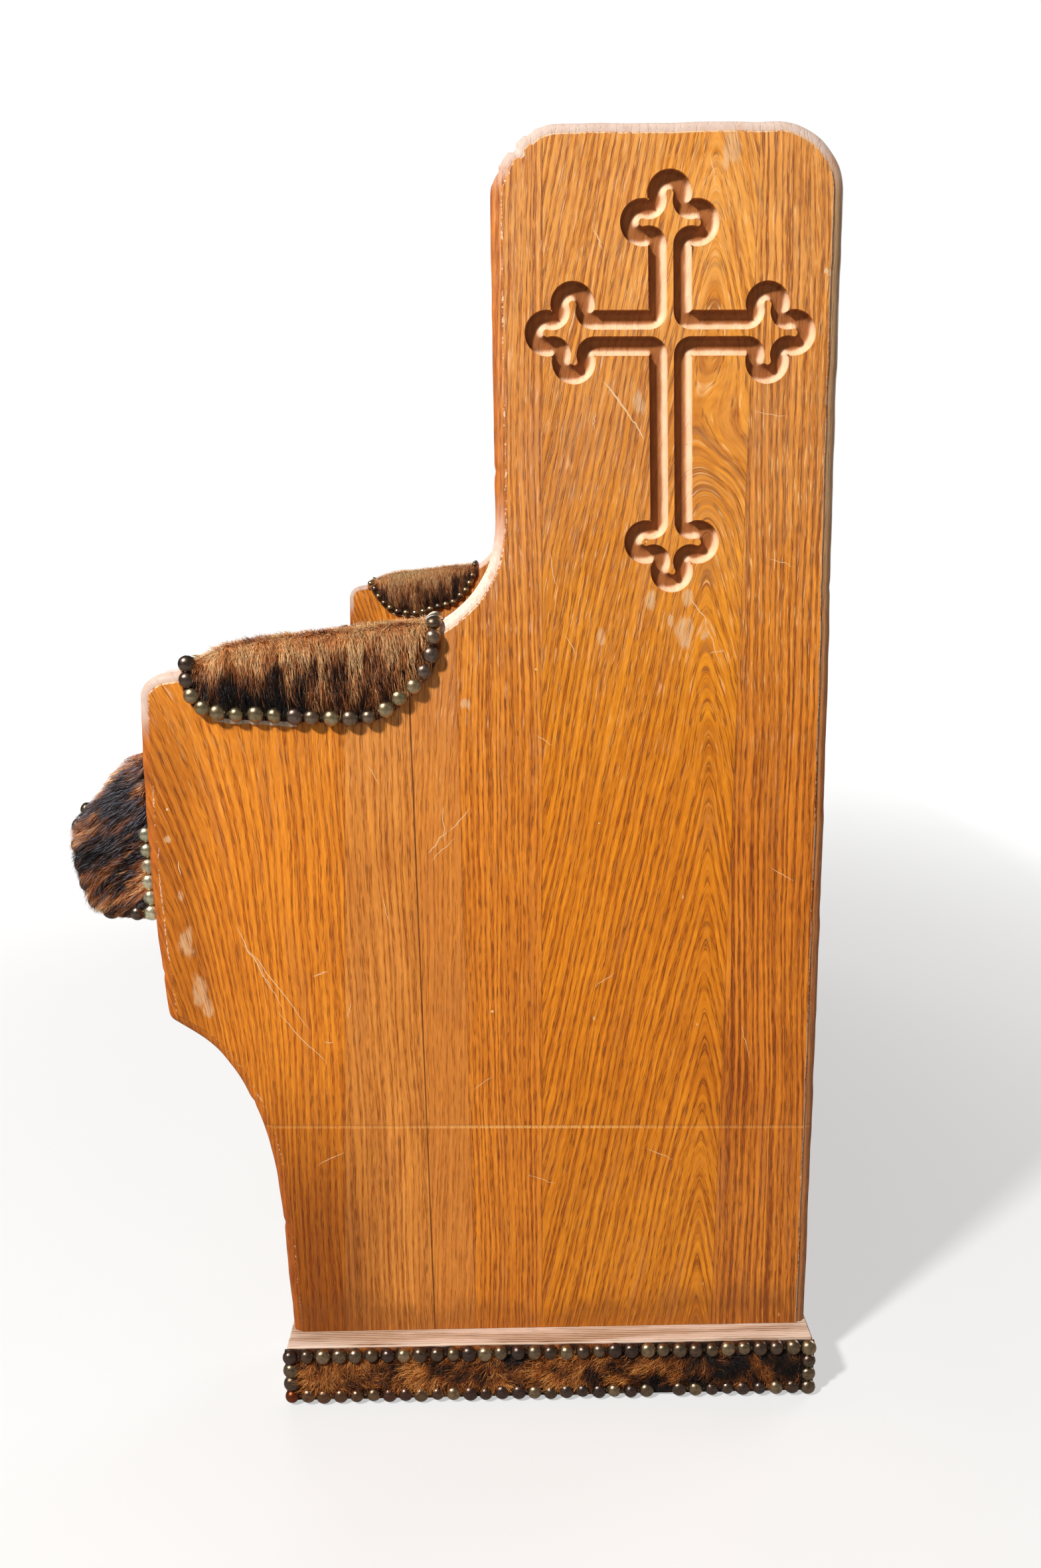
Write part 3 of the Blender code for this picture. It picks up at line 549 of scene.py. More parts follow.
    # the top: bare and grey-pink, worn and partly painted light where it faces up; the hollow behind the arm pad:
    # rubbed raw and partly painted light; the arm's front corner; the upper back edge
    top_edge = n.rng(z, 0.872, 0.902)
    hollow = n.rng(z, 0.560, 0.590) * n.rng(z, 0.690, 0.630) * n.rng(yl, -0.070, -0.045) * front_tall
    nose_c = n.rng(yl, -0.216, -0.232) * n.rng(z, 0.515, 0.545)
    upper_back = rear * n.rng(z, 0.50, 0.72, 0.35, 1.0)
    wear = n.m("MAXIMUM", top_edge * 1.10, hollow * 1.15)
    wear = n.m("MAXIMUM", wear, nose_c * 0.95)
    wear = n.m("MAXIMUM", wear, upper_back * 0.72)
    wear = n.m("MULTIPLY", wear * n.rng(edge, 0.10, 0.42), n.rng(coarse * 0.6 + fine * 0.4, 0.30, 0.46, 0.55, 1.0), clamp=True)
    tint = n.mix(hollow, n.mix(rear * n.rng(z, 0.90, 0.86), pale, n.mix(fine, lin(140, 112, 80), lin(196, 170, 134))),
                 n.mix(grit, lin(232, 176, 146), lin(255, 236, 222)))
    col = n.mix(wear, col, tint)
    chips = shoulder * n.rng(coarse * 0.5 + grit * 0.5 + (rear + top_edge + hollow) * 0.09, 0.515, 0.575)
    # painted shadow: a dark brown line along the shoulder step, where the face drops to the round-over
    col = n.mix(shoulder * 0.40, col, lin(128, 70, 34))
    col = n.mix(chips * 0.85, col, lin(240, 212, 180))
    # rubbed patches low on the front edge, and one high on the face
    rub = None
    for py, pz, a, b in ((-0.2365, 0.3700, 0.0075, 0.0140), (-0.2300, 0.3340, 0.0065, 0.0150), (-0.2240, 0.3180, 0.0040, 0.0080),
                         (0.1490, 0.8970, 0.0070, 0.0150), (-0.2440, 0.4480, 0.0036, 0.0036), (-0.2380, 0.4060, 0.0036, 0.0060),
                         (0.0900, 0.7420, 0.0060, 0.0100), (0.1230, 0.5900, 0.0090, 0.0110), (0.2150, 0.8230, 0.0036, 0.0030),
                         (0.0995, 0.6129, 0.0050, 0.0090), (0.1255, 0.6139, 0.0050, 0.0060), (0.1374, 0.5901, 0.0050, 0.0070), (0.0652, 0.5874, 0.0035, 0.0070),
                         (0.1134, 0.5982, 0.0025, 0.0050), (-0.0300, 0.5424, 0.0060, 0.0050), (0.1254, 0.7068, 0.0025, 0.0050)):
        d = n.vm("LENGTH", n.vec((yl - py) / a, (z - pz) / b, 0.0), out="Value")
        spot = n.rng(d + (fine - 0.5) * 1.8 + (fib - 0.5) * 0.8, 1.0, 0.50)
        rub = spot if rub is None else n.m("MAXIMUM", rub, spot)
    outer_face = n.rng(n.m("ABSOLUTE", x), 0.600, 0.606)
    col = n.mix(rub * outer_face * n.rng(fib, 0.30, 0.55) * 0.66, col, lin(228, 190, 146))
    # routed groove: walls that face the key light (up and forward) are painted pale raw wood as painted light; walls
    # that face away are painted dark brown as painted shade, mid brown lower down in the groove
    groove = n.attr("groove")
    deep = n.attr("deep")
    painted_lit_side = n.attr("toward_key")
    raw = n.mix(fine, lin(236, 170, 124), lin(255, 220, 186))
    painted_shade_brown = n.mix(fine, lin(92, 45, 16), lin(134, 74, 34))
    wall = n.mix(n.rng(painted_lit_side + (fine - 0.5) * 0.16, 0.04, 0.34), n.mix(n.rng(deep, 0.75, 1.0), painted_shade_brown, n.mix(fine, lin(124, 67, 28), lin(176, 108, 58))), raw)
    col = n.mix(groove * 0.92, col, wall)
    # tiny nicks over the whole face
    nick = n.cells(n.vec(yl * 46.0 + shift, z * 26.0, x * 20.0))
    nick = n.rng(nick, 0.055, 0.020) * n.rng(coarse, 0.50, 0.62)
    col = n.mix(nick * 0.55, col, lin(240, 200, 140))
    rough = n.rng(blot, 0.3, 0.7, 0.42, 0.55) + pore * 0.12 + edge * 0.12 + groove * 0.18
    h = band * 0.35 + (fib - 0.5) * 0.4 - pore * 1.1 - seam * 1.2 - scribe * 1.2 - nick
    nrm = n.bump(h, 0.00022, 0.80)
    n.set(color=col, rough=rough, normal=nrm, spec=0.22, coat=0.04, coat_rough=0.30)
    return n.mat


def wood(name, axis, lo, hi, pitch=0.0042, seed=1, pale=None, rough=0.5, wear=0.0, dark=(92, 52, 22), coat=0.0, board=None, contrast=0.8):
    """Solid sawn wood with its grain along one axis (0 x, 1 y, 2 z)."""
    n = Net(name)
    p = n.xyz()
    a, b = [p[i] for i in range(3) if i != axis]
    g = p[axis]
    o = seed * 2.71
    wob = n.noise(n.vec(a * 7.0 + o, b * 7.0, g * 1.6), 2.0, 0.5) - 0.5
    if board is not None:  # boards stacked along the second cross axis
        idx = n.m("FLOOR", (b - board[0]) / board[1])
        o2 = idx * 1.73
    else:
        o2 = wob * 0.0
    da = a + 0.055 + o2 * 0.02 + wob * 0.016
    db = b - 0.45 + o2 * 0.06 + g * 0.018 + wob * 0.020
    r = n.m("SQRT", da * da * 3.0 + db * db)
    yr = n.noise(n.vec(r * 120.0 + o, o2, 3.0), 1.0, 0.5) - 0.5
    fib = n.noise(n.vec(a * 700.0 + o, b * 700.0, g * 22.0), 3.0, 0.6)
    fib2 = n.noise(n.vec(a * 260.0 + o, b * 260.0 + 2.0, g * 4.0), 2.0, 0.5)
    band = n.m("SINE", ((r + yr * 0.003) / pitch + (fib - 0.5) * 0.3 + (fib2 - 0.5) * 0.3) * (2 * math.pi)) * 0.5 + 0.5
    band = n.rng(band, 0.1, 0.9)
    mixv = (band - 0.5) * contrast + 0.5 + (fib - 0.5) * 0.6 + (fib2 - 0.5) * 0.35
    col = n.mix(n.m("ADD", mixv, 0.0, clamp=True), lin(*lo), lin(*hi))
    pore = n.rng(n.noise(n.vec(a * 1500.0 + o, b * 1500.0, g * 90.0), 1.0, 0.4), 0.57, 0.67) * n.rng(band, 0.9, 0.2, 0.1, 1.0)
    col = n.mix(pore * 0.5, col, lin(*dark))
    blot = n.noise(n.vec(p[0] * 9.0 + o, p[1] * 9.0, p[2] * 9.0), 3.0, 0.6)
    col = n.mix(n.rng(blot, 0.42, 0.72) * 0.45, col, lin(214, 200, 190), "MULTIPLY")
    if wear:
        along = [26.0 if i != axis else 5.0 for i in range(3)]
        w = n.rng(n.noise(n.vec(p[0] * along[0] * 5.0 + o, p[1] * along[1] * 2.0, p[2] * along[2] * 5.0), 3.0, 0.6), 0.38, 0.60)
        col = n.mix(w * wear, col, lin(*(pale or (236, 206, 182))))
    h = band * 0.3 + (fib - 0.5) * 0.6 - pore
    n.set(color=col, rough=n.rng(blot, 0.3, 0.7, rough - 0.06, rough + 0.10), normal=n.bump(h, 0.00025, 0.8), spec=0.35, coat=coat, coat_rough=0.3)
    return n.mat


def bare_wood(name):
    n = Net(name)
    x, y, z = n.xyz()
    f = n.noise(n.vec(x * 300.0, y * 700.0, z * 60.0), 3.0, 0.6)
    n.set(color=n.mix(f, lin(214, 160, 104), lin(244, 214, 172)), rough=n.rng(f, 0.2, 0.8, 0.55, 0.75), normal=n.bump(f, 0.0002, 0.7), spec=0.25)
    return n.mat


def hide_skin(name):
    """Skin under the hair: takes its patches from the mesh, with short lying hair drawn over."""
    n = Net(name)
    x, y, z = n.xyz()
    c = n.attr("Col", "Color")
    s1 = n.noise(n.vec(x * 900.0, y * 900.0, z * 170.0), 3.0, 0.65)
    s2 = n.noise(n.vec(x * 260.0 + 3.0, y * 260.0, z * 60.0), 2.0, 0.6)
    col = n.mix(n.rng(s1, 0.35, 0.68) * 0.75, c, lin(22, 13, 8))
    col = n.mix(n.rng(s2, 0.56, 0.72) * 0.35, col, lin(128, 78, 36))
    n.set(color=col, rough=n.rng(s1, 0.3, 0.7, 0.55, 0.80), normal=n.bump(s1 + s2 * 0.6, 0.0009, 1.0), spec=0.25)
    return n.mat


def hair(name):
    n = Net(name)
    c = n.attr("Col", "Color")
    x, y, z = n.xyz()
    v = n.noise(n.vec(x * 1500.0, y * 1500.0, z * 1500.0), 1.0, 0.5)
    n.set(color=n.mix(n.rng(v, 0.3, 0.7) * 0.20, c, lin(30, 17, 9)), rough=n.rng(v, 0.3, 0.7, 0.32, 0.46), spec=0.55)
    return n.mat


def raw_hide(name):
    n = Net(name)
    x, y, z = n.xyz()
    v = n.noise(n.vec(x * 500.0, y * 500.0, z * 500.0), 3.0, 0.6)
    n.set(color=n.mix(v, lin(150, 120, 96), lin(226, 204, 180)), rough=n.rng(v, 0.2, 0.8, 0.75, 0.9), normal=n.bump(v, 0.0004, 0.9))
    return n.mat


def nail_metal(name):
    n = Net(name)
    c = n.attr("Col", "Color")
    x, y, z = n.xyz()
    v = n.noise(n.vec(x * 340.0, y * 340.0, z * 340.0), 4.0, 0.62)
    f = n.noise(n.vec(x * 1400.0, y * 1400.0, z * 1400.0), 2.0, 0.6)
    col = n.mix(n.rng(v, 0.46, 0.68) * 0.45, c, lin(52, 40, 30))
    col = n.mix(n.rng(f, 0.60, 0.72) * 0.22, col, lin(170, 158, 130))
    rough = n.rng(v, 0.35, 0.65, 0.24, 0.38) + n.rng(f, 0.5, 0.7) * 0.06
    n.set(color=col, metal=0.97, rough=rough, normal=n.bump(v + f * 0.4, 0.0002, 0.5))
    return n.mat


def steel(name):
    n = Net(name)
    x, y, z = n.xyz()
    v = n.noise(n.vec(x * 900.0, y * 300.0, z * 300.0), 3.0, 0.6)
    n.set(color=n.mix(v, lin(150, 150, 148), lin(205, 204, 200)), metal=1.0, rough=n.rng(v, 0.2, 0.8, 0.28, 0.48), normal=n.bump(v, 0.00008, 0.5))
    return n.mat


OAK_END = oak_staves("oak_staves", 0)
BARE = bare_wood("bare_scratch")
OAK_BACK = wood("oak_back", 0, (176, 92, 28), (228, 140, 58), 0.0040, 3, rough=0.42, coat=0.1, contrast=0.95)
OAK_BASE = wood("oak_base_worn", 1, (136, 98, 72), (212, 180, 152), 0.0034, 5, rough=0.6, wear=0.56, pale=(238, 212, 194), dark=(88, 58, 38))
PINE = wood("pine_sawn", 0, (196, 150, 92), (230, 194, 140), 0.0052, 7, rough=0.68, dark=(150, 104, 58), contrast=0.6)
PINE_Y = wood("pine_sawn_y", 1, (196, 150, 92), (230, 194, 140), 0.0052, 8, rough=0.68, dark=(150, 104, 58), contrast=0.6)
PLY = wood("plywood_face", 0, (190, 150, 104), (222, 188, 142), 0.0120, 9, rough=0.66, dark=(140, 98, 60), contrast=0.5)
BEECH = wood("beech_dowel", 2, (190, 146, 100), (214, 172, 124), 0.0030, 11, rough=0.6, contrast=0.4)
SKIN = hide_skin("hide_skin")
HAIR = hair("hide_hair")
RAW = raw_hide("hide_cut_edge")
NAIL = nail_metal("nailhead_bronze")
STEEL = steel("zinc_steel")


# ------------------------------------------------------------------ bench ends
def offset_path(pts, d):
    """An open path moved d to its right; the ends move square to the first and last run."""
    p = np.asarray(pts, float)
    t = np.zeros_like(p)
    t[1:-1] = p[2:] - p[:-2]
    t[0], t[-1] = p[1] - p[0], p[-1] - p[-2]
    t /= np.hypot(t[:, 0], t[:, 1])[:, None]
    return p + np.stack([t[:, 1], -t[:, 0]], 1) * d


def offset_loop(pts, d):
    p = np.asarray(pts, float)
    t = np.roll(p, -1, 0) - np.roll(p, 1, 0)
    t /= np.hypot(t[:, 0], t[:, 1])[:, None]
    return p + np.stack([t[:, 1], -t[:, 0]], 1) * d


def inside(poly, q):
    """Which of the points q lie inside a polygon."""
    poly, q = np.asarray(poly, float), np.asarray(q, float)
    x0, y0 = poly[:, 0], poly[:, 1]
    x1, y1 = np.roll(x0, -1), np.roll(y0, -1)
    out = np.zeros(len(q), bool)
    for a, b, c, d in zip(x0, y0, x1, y1):
        if b == d:
            continue
        hit = ((b > q[:, 1]) != (d > q[:, 1])) & (q[:, 0] < (c - a) * (q[:, 1] - b) / (d - b) + a)
        out ^= hit
    return out


def sliver(points, width):
    """A scratch: a thin closed outline along a line of points, pointed at both ends."""
    p = np.asarray(points, float)
    n = len(p)
    t = np.zeros_like(p)
    t[1:-1] = p[2:] - p[:-2]
    t[0], t[-1] = p[1] - p[0], p[-1] - p[-2]
    t /= np.hypot(t[:, 0], t[:, 1])[:, None]
    nn = np.stack([-t[:, 1], t[:, 0]], 1)
    s = np.linspace(0, 1, n)
    w = width * 0.5 * np.sin(np.pi * np.clip(s, 0.0, 1.0)) ** 0.6
    left, right = p + nn * w[:, None], p - nn * w[:, None]
    return np.concatenate([p[:1], left[1:-1], p[-1:], right[1:-1][::-1]])


def wiggle(a, b, n, amp, seed):
    """A slightly wandering line from a to b."""
    a, b = np.array(a, float), np.array(b, float)
    rs = np.random.RandomState(seed)
    s = np.linspace(0, 1, n)
    d = b - a
    nn = np.array([-d[1], d[0]]) / np.hypot(*d)
    off = np.cumsum(rs.normal(0, 1, n))
    off = (off - off[0]) - (off[-1] - off[0]) * s
    off = off / (np.abs(off).max() + 1e-9) * amp
    return a + d * s[:, None] + nn * off[:, None]


# (from, to, width mm) of the scratches on the outer face, in mm
SCRATCHES = [
    ((-200, 383), (-176, 331), 1.0), ((-198, 372), (-150, 300), 0.8), ((-174, 318), (-137, 272), 0.7), ((-186, 356), (-168, 312), 0.6),
    ((-59.5, 434), (-44, 452), 1.0), ((-44, 450), (-28, 468), 0.8), ((-57, 428), (-39, 446), 0.6), ((-47, 470), (-46.4, 442), 0.7),
    ((-146, 343), (-134.5, 346.5), 1.1), ((-119, 322), (-122, 309), 0.6), ((-140, 291), (-133, 290.5), 0.8),
    ((61, 727), (99, 724), 0.9), ((60, 725), (62, 738), 0.7), ((66, 757), (86, 731), 1.6), ((84, 736), (94, 718), 1.2), ((50, 768), (70, 752), 0.7),
    ((100, 716), (113, 690), 1.6), ((112, 700), (118, 676), 0.9), ((121, 664), (128, 650), 1.2), ((99, 637), (112, 634), 0.8), ((104, 630), (103, 612), 0.9),
    ((126, 616), (140, 596), 0.9), ((136, 604), (149, 566), 0.7), ((140, 575), (152, 577), 0.6), ((76, 646), (92, 641), 0.7),
    ((182, 846), (226, 838), 0.6), ((80, 872), (88, 858), 0.8), ((134, 896), (140, 872), 0.7), ((60, 852), (66, 838), 0.9),
    ((-238, 432), (-236.5, 421), 0.9), ((-226, 300), (-219, 292), 0.8), ((180, 640), (198, 634), 0.5), ((20, 520), (31, 512), 0.6),
    ((-92, 402), (-89, 380), 0.5), ((60, 330), (76, 342), 0.6), ((-150, 190), (-128, 202), 0.6), ((10, 180), (32, 172), 0.5),
    ((170, 300), (176, 272), 0.5), ((-30, 250), (-14, 262), 0.5), ((100, 200), (121, 190), 0.6), ((188, 420), (206, 410), 0.6),
    ((168, 737), (190, 733), 0.5), ((30, 646), (35, 622), 0.6), ((40, 590), (48, 575), 0.6), ((-100, 500), (-92, 486), 0.6),
]
PITS = [(212.0, 824.0, 1.7), (218.0, 821.0, 1.3), (-15.0, 313.0, 1.2), (-243, 470, 1.0), (96, 652, 0.8), (20, 566, 0.8), (137, 300, 0.8), (64, 455, 0.7)]


def edge_profile():
    """(drawn in from the edge, down from the face, edge wear, shoulder line) from the face round to the edge."""
    prof = [(0.0084, 0.0, 0.0, 0.0), (0.0077, 0.0, 0.0, 0.5), (0.0073, 0.0004, 0.10, 1.0), (0.0070, 0.0012, 0.15, 1.0), (0.0064, 0.0013, 0.30, 0.0)]
    r0, d0 = 0.0064, 0.0013
    for k in range(1, 8):
        a = math.pi / 2 * k / 7
        prof.append((r0 * (1 - math.sin(a)), d0 + 0.0058 * (1 - math.cos(a)), min(1.0, 0.4 + 0.9 * k / 7), 0.0))
    return prof


def bench_end(s, name, node, plain=False):
    rs = np.random.RandomState(11 if s > 0 else 23)
    line = resample(END, 0.0021)
    # the tall part narrows a little towards its top
    line[:, 0] -= 0.0040 * sstep(line[:, 0], 0.10, 0.19) * sstep(line[:, 1], 0.36, 0.84)
    # the outline runs clockwise seen from +X, so inward is on its right
    n_pts = len(line)
    arc_len = np.concatenate([[0], np.cumsum(np.hypot(*(line[1:] - line[:-1]).T))])
    dents = vnoise(np.stack([arc_len * 90, arc_len * 0, arc_len * 0 + s], 1), 5) - 0.5
    big = vnoise(np.stack([arc_len * 24, arc_len * 0 + 3, arc_len * 0 + s], 1), 6)
    amount = 0.00035 * dents
    yy, zz = line[:, 0], line[:, 1]
    if s > 0:
        # knocks: the worn front corner of the top, a nick near its rear, small ones down the front
        chip = np.exp(-(((yy - 0.006) / 0.020) ** 2 + ((zz - 0.899) / 0.016) ** 2))
        amount = amount - chip * (0.0016 + 0.0026 * sstep(vnoise(np.stack([arc_len * 210, arc_len * 0, arc_len * 0], 1), 8), 0.45, 0.62))
        for cy, cz, w, depth in ((0.1985, 0.9155, 0.0016, 0.0030), (-0.2600, 0.440, 0.003, 0.0012), (-0.2560, 0.345, 0.003, 0.0010),
                                 (-0.2580, 0.3900, 0.002, 0.0008), (-0.0066, 0.700, 0.003, 0.0008), (0.2270, 0.620, 0.004, 0.0008),
                                 (-0.1960, 0.2420, 0.003, 0.0009), (-0.1790, 0.140, 0.003, 0.0010)):
            amount = amount - depth * np.exp(-(((yy - cy) ** 2 + (zz - cz) ** 2) / w ** 2))
    else:
        amount = amount - 0.0009 * sstep(big, 0.72, 0.85)
    ramp_ends = np.clip(np.minimum(arc_len, arc_len[-1] - arc_len) / 0.004, 0, 1)
    outline = offset_path(line, 0.0) + (offset_path(line, 1.0) - line) * (-(amount * ramp_ends))[:, None]
    # walls square to the floor at the foot
    base = (offset_path(line, 1.0) - line)
    k = 9
    ker = np.ones(k) / k
    sm = np.stack([np.convolve(np.pad(base[:, c], k // 2, mode="edge"), ker, "valid") for c in (0, 1)], 1)
    sm /= np.hypot(sm[:, 0], sm[:, 1])[:, None]
    sm[0], sm[-1] = (1.0, 0.0), (-1.0, 0.0)
    prof = edge_profile()
    out_x, in_x = X_OUT, X_IN
    depth_total = out_x - in_x
    rings = []
    wob = (vnoise(np.stack([arc_len * 60, arc_len * 0 + 9, arc_len * 0 + s], 1), 9) - 0.5)
    for i, (inset, d, e, sh) in enumerate(prof):
        pull = inset + (wob * 0.0006 if 0 < i < len(prof) - 1 else wob * (0.0005 if i == 0 else 0.0))
        rings.append((outline + sm * np.asarray(pull).reshape(-1, 1) if np.ndim(pull) else outline + sm * pull, out_x - d, e, sh))
    for f in (0.35, 0.65):
        rings.append((outline, out_x - prof[-1][1] - (depth_total - 2 * prof[-1][1]) * f, 1.0, 0.0))
    for i, (inset, d, e, sh) in reversed(list(enumerate(prof))):
        rings.append((outline + sm * inset, in_x + d, e, sh))
    verts, edge, shoulder = [], [], []
    nr = len(rings)
    for pts, x, e, sh in rings:
        for p in pts:
            verts.append((x, p[0], p[1]))
            edge.append(e)
            shoulder.append(sh)
    faces, slots = [], []
    for a in range(nr - 1):
        for i in range(n_pts - 1):
            q = (a * n_pts + i, a * n_pts + i + 1, (a + 1) * n_pts + i + 1, (a + 1) * n_pts + i)
            faces.append(q)
            slots.append(0)
    # flat foot
    foot = [a * n_pts for a in range(nr)] + [a * n_pts + n_pts - 1 for a in reversed(range(nr))]
    faces.append(tuple(foot))
    slots.append(0)

    def face_fill(ring_at, loops, x, flip, scratches=(), pits=()):
        """Triangles of one flat face; loops are (points, first vertex index) that it must join."""
        pts2, index = [], []
        constraint = []
        for pts, first in loops:
            ids = list(range(len(pts2), len(pts2) + len(pts)))
            pts2 += [Vector((float(p[0]), float(p[1]))) for p in pts]
            index += [first + j for j in range(len(pts))]
            constraint.append(ids)
        regions = []
        for sl in scratches:
            ids = list(range(len(pts2), len(pts2) + len(sl)))
            pts2 += [Vector((float(p[0]), float(p[1]))) for p in sl]
            index += [None] * len(sl)
            constraint.append(ids)
            regions.append(sl)
        # a loose grid keeps the triangles even
        g = 0.011
        gy, gz = np.meshgrid(np.arange(-0.262, 0.230, g), np.arange(0.055, 0.915, g))
        grid = np.stack([gy.ravel(), gz.ravel()], 1) + rs.uniform(-0.002, 0.002, (gy.size, 2))
        ok = inside(loops[0][0], grid)
        allp = np.array([(p.x, p.y) for p in pts2])
        for j in np.nonzero(ok)[0]:
            if np.min(np.abs(allp - grid[j]).sum(1)) > 0.006:
                pts2.append(Vector((float(grid[j][0]), float(grid[j][1]))))
                index.append(None)
        co, _, tris, orig, _, _ = delaunay_2d_cdt(pts2, [], constraint, 0, 1e-7)
        cen = np.array([[sum(co[v].x for v in t) / 3, sum(co[v].y for v in t) / 3] for t in tris])
        keep = inside(loops[0][0], cen)
        if len(loops) > 1:
            keep &= ~(inside(loops[1][0], cen) & ~inside(loops[2][0], cen))
        ids = []
        for v, o in enumerate(orig):
            have = [index[k] for k in o if index[k] is not None]
            if have:
                ids.append(have[0])
            else:
                ids.append(len(verts))
                verts.append((x, co[v].x, co[v].y))
                edge.append(0.0)
                shoulder.append(0.0)
        mark = np.zeros(len(tris), bool)
        for r_ in regions:
            lo_, hi_ = r_.min(0) - 1e-4, r_.max(0) + 1e-4
            near = np.nonzero((cen > lo_).all(1) & (cen < hi_).all(1))[0]
            if len(near):
                mark[near] |= inside(r_, cen[near])
        for t, (tri, kp) in enumerate(zip(tris, keep)):
            if not kp:
                continue
            a, b, c = tri
            cross = (co[b].x - co[a].x) * (co[c].y - co[a].y) - (co[b].y - co[a].y) * (co[c].x - co[a].x)
            if abs(cross) < 1e-14:
                continue
            f = (ids[a], ids[b], ids[c]) if (cross > 0) != flip else (ids[c], ids[b], ids[a])
            faces.append(f)
            slots.append(1 if mark[t] else 0)

    face_loop = np.array([verts[i][1:] for i in range(n_pts)])
    back_first = (nr - 1) * n_pts
    back_loop = np.array([verts[back_first + i][1:] for i in range(n_pts)])
    # routed cross
    path = np.array(cross_path())
    nxt = np.hypot(*(path - np.roll(path, 1, 0)).T)
    path = path[nxt > 1e-6]
    # the cross was not set out quite square
    off = path - np.array([CROSS_Y, CROSS_Z])
    path = path + np.stack([-0.0190 * off[:, 1] + 0.0006, -0.0080 * off[:, 0] + 0.0008], 1)
    groove_at = []
    half = 0.0062
    m = len(path)
    across = [-1.0, -0.94, -0.80, -0.60, -0.36, -0.14, 0.14, 0.36, 0.60, 0.80, 0.94, 1.0]
    level = {1.0: 0.0, 0.94: 0.0021, 0.80: 0.0040, 0.60: 0.0051, 0.36: 0.0056, 0.14: 0.0058}
    first_g = len(verts)
    for u in across:
        ring = offset_loop(path, u * half)
        a = abs(u)
        depth = level[a]
        for j, p in enumerate(ring):
            verts.append((out_x - depth, p[0], p[1]))
            edge.append(0.0)
            shoulder.append(0.0)
            groove_at.append(len(verts) - 1)
    area = 0.5 * np.sum(path[:, 0] * np.roll(path[:, 1], -1) - np.roll(path[:, 0], -1) * path[:, 1])
    for a in range(len(across) - 1):
        for j in range(m):
            j2 = (j + 1) % m
            q = (first_g + a * m + j, first_g + a * m + j2, first_g + (a + 1) * m + j2, first_g + (a + 1) * m + j)
            faces.append(q)
            slots.append(0)
    ring_lo = np.array([verts[first_g + j][1:] for j in range(m)])
    ring_hi = np.array([verts[first_g + (len(across) - 1) * m + j][1:] for j in range(m)])
    lo_is_outer = abs(0.5 * np.sum(ring_lo[:, 0] * np.roll(ring_lo[:, 1], -1) - np.roll(ring_lo[:, 0], -1) * ring_lo[:, 1])) > abs(
        0.5 * np.sum(ring_hi[:, 0] * np.roll(ring_hi[:, 1], -1) - np.roll(ring_hi[:, 0], -1) * ring_hi[:, 1]))
    hi_first = first_g + (len(across) - 1) * m
    outer_g, inner_g = ((ring_lo, first_g), (ring_hi, hi_first)) if lo_is_outer else ((ring_hi, hi_first), (ring_lo, first_g))
    scr = []
    if s > 0:
        for k_, (a, b, w) in enumerate(SCRATCHES):
            a_, b_ = np.array(a) / 1000.0, np.array(b) / 1000.0
            scr.append(sliver(wiggle(a_, b_, 9, 0.0004 + 0.02 * np.hypot(*(b_ - a_)), 50 + k_), w * 0.80 / 1000.0))
        for k_, (py, pz, r_) in enumerate(PITS):
            ang = np.linspace(0, 2 * np.pi, 10, endpoint=False)
            rr = r_ / 1000.0 * np.random.RandomState(90 + k_).uniform(0.6, 1.15, 10)
            scr.append(np.stack([py / 1000.0 + np.cos(ang) * rr, pz / 1000.0 + np.sin(ang) * rr], 1))
    else:
        r2 = np.random.RandomState(77)
        for k_ in range(16):
            a_ = np.array([r2.uniform(-0.2, 0.19), r2.uniform(0.12, 0.66)])
            if not inside(face_loop, a_[None])[0] or a_[1] > 0.62:
                continue
            ang, ln = r2.uniform(0, np.pi), r2.uniform(0.008, 0.030)
            b_ = a_ + np.array([np.cos(ang), np.sin(ang)]) * ln
            if inside(face_loop, b_[None])[0] and not (a_[0] < -0.03 and a_[1] > 0.5):
                scr.append(sliver(wiggle(a_, b_, 9, 0.0006, 150 + k_), r2.uniform(0.4, 0.8) / 1000.0))
    # scratches stay clear of the groove
    good = []
    for sc_ in scr:
        if inside(face_loop, sc_).all() and not inside(outer_g[0], sc_).any() or (inside(inner_g[0], sc_).all()):
            good.append(sc_)
    face_fill(0, [(face_loop, 0), outer_g, inner_g], out_x, False, good)
    face_fill(1, [(back_loop, back_first)], in_x, True)
    v = np.array(verts, float)
    v[:, 1] += YS
    if s < 0:
        v[:, 0] *= -1
        faces = [tuple(reversed(f)) for f in faces]
    ob = put(name, v, faces, OAK_END, slots=None, mats=[OAK_END, BARE], sharp=32)
    me = ob.data
    me.polygons.foreach_set("material_index", np.asarray(slots[:len(me.polygons)], np.int32))
    gr, dp, fc = np.zeros(len(v)), np.zeros(len(v)), np.zeros(len(v))
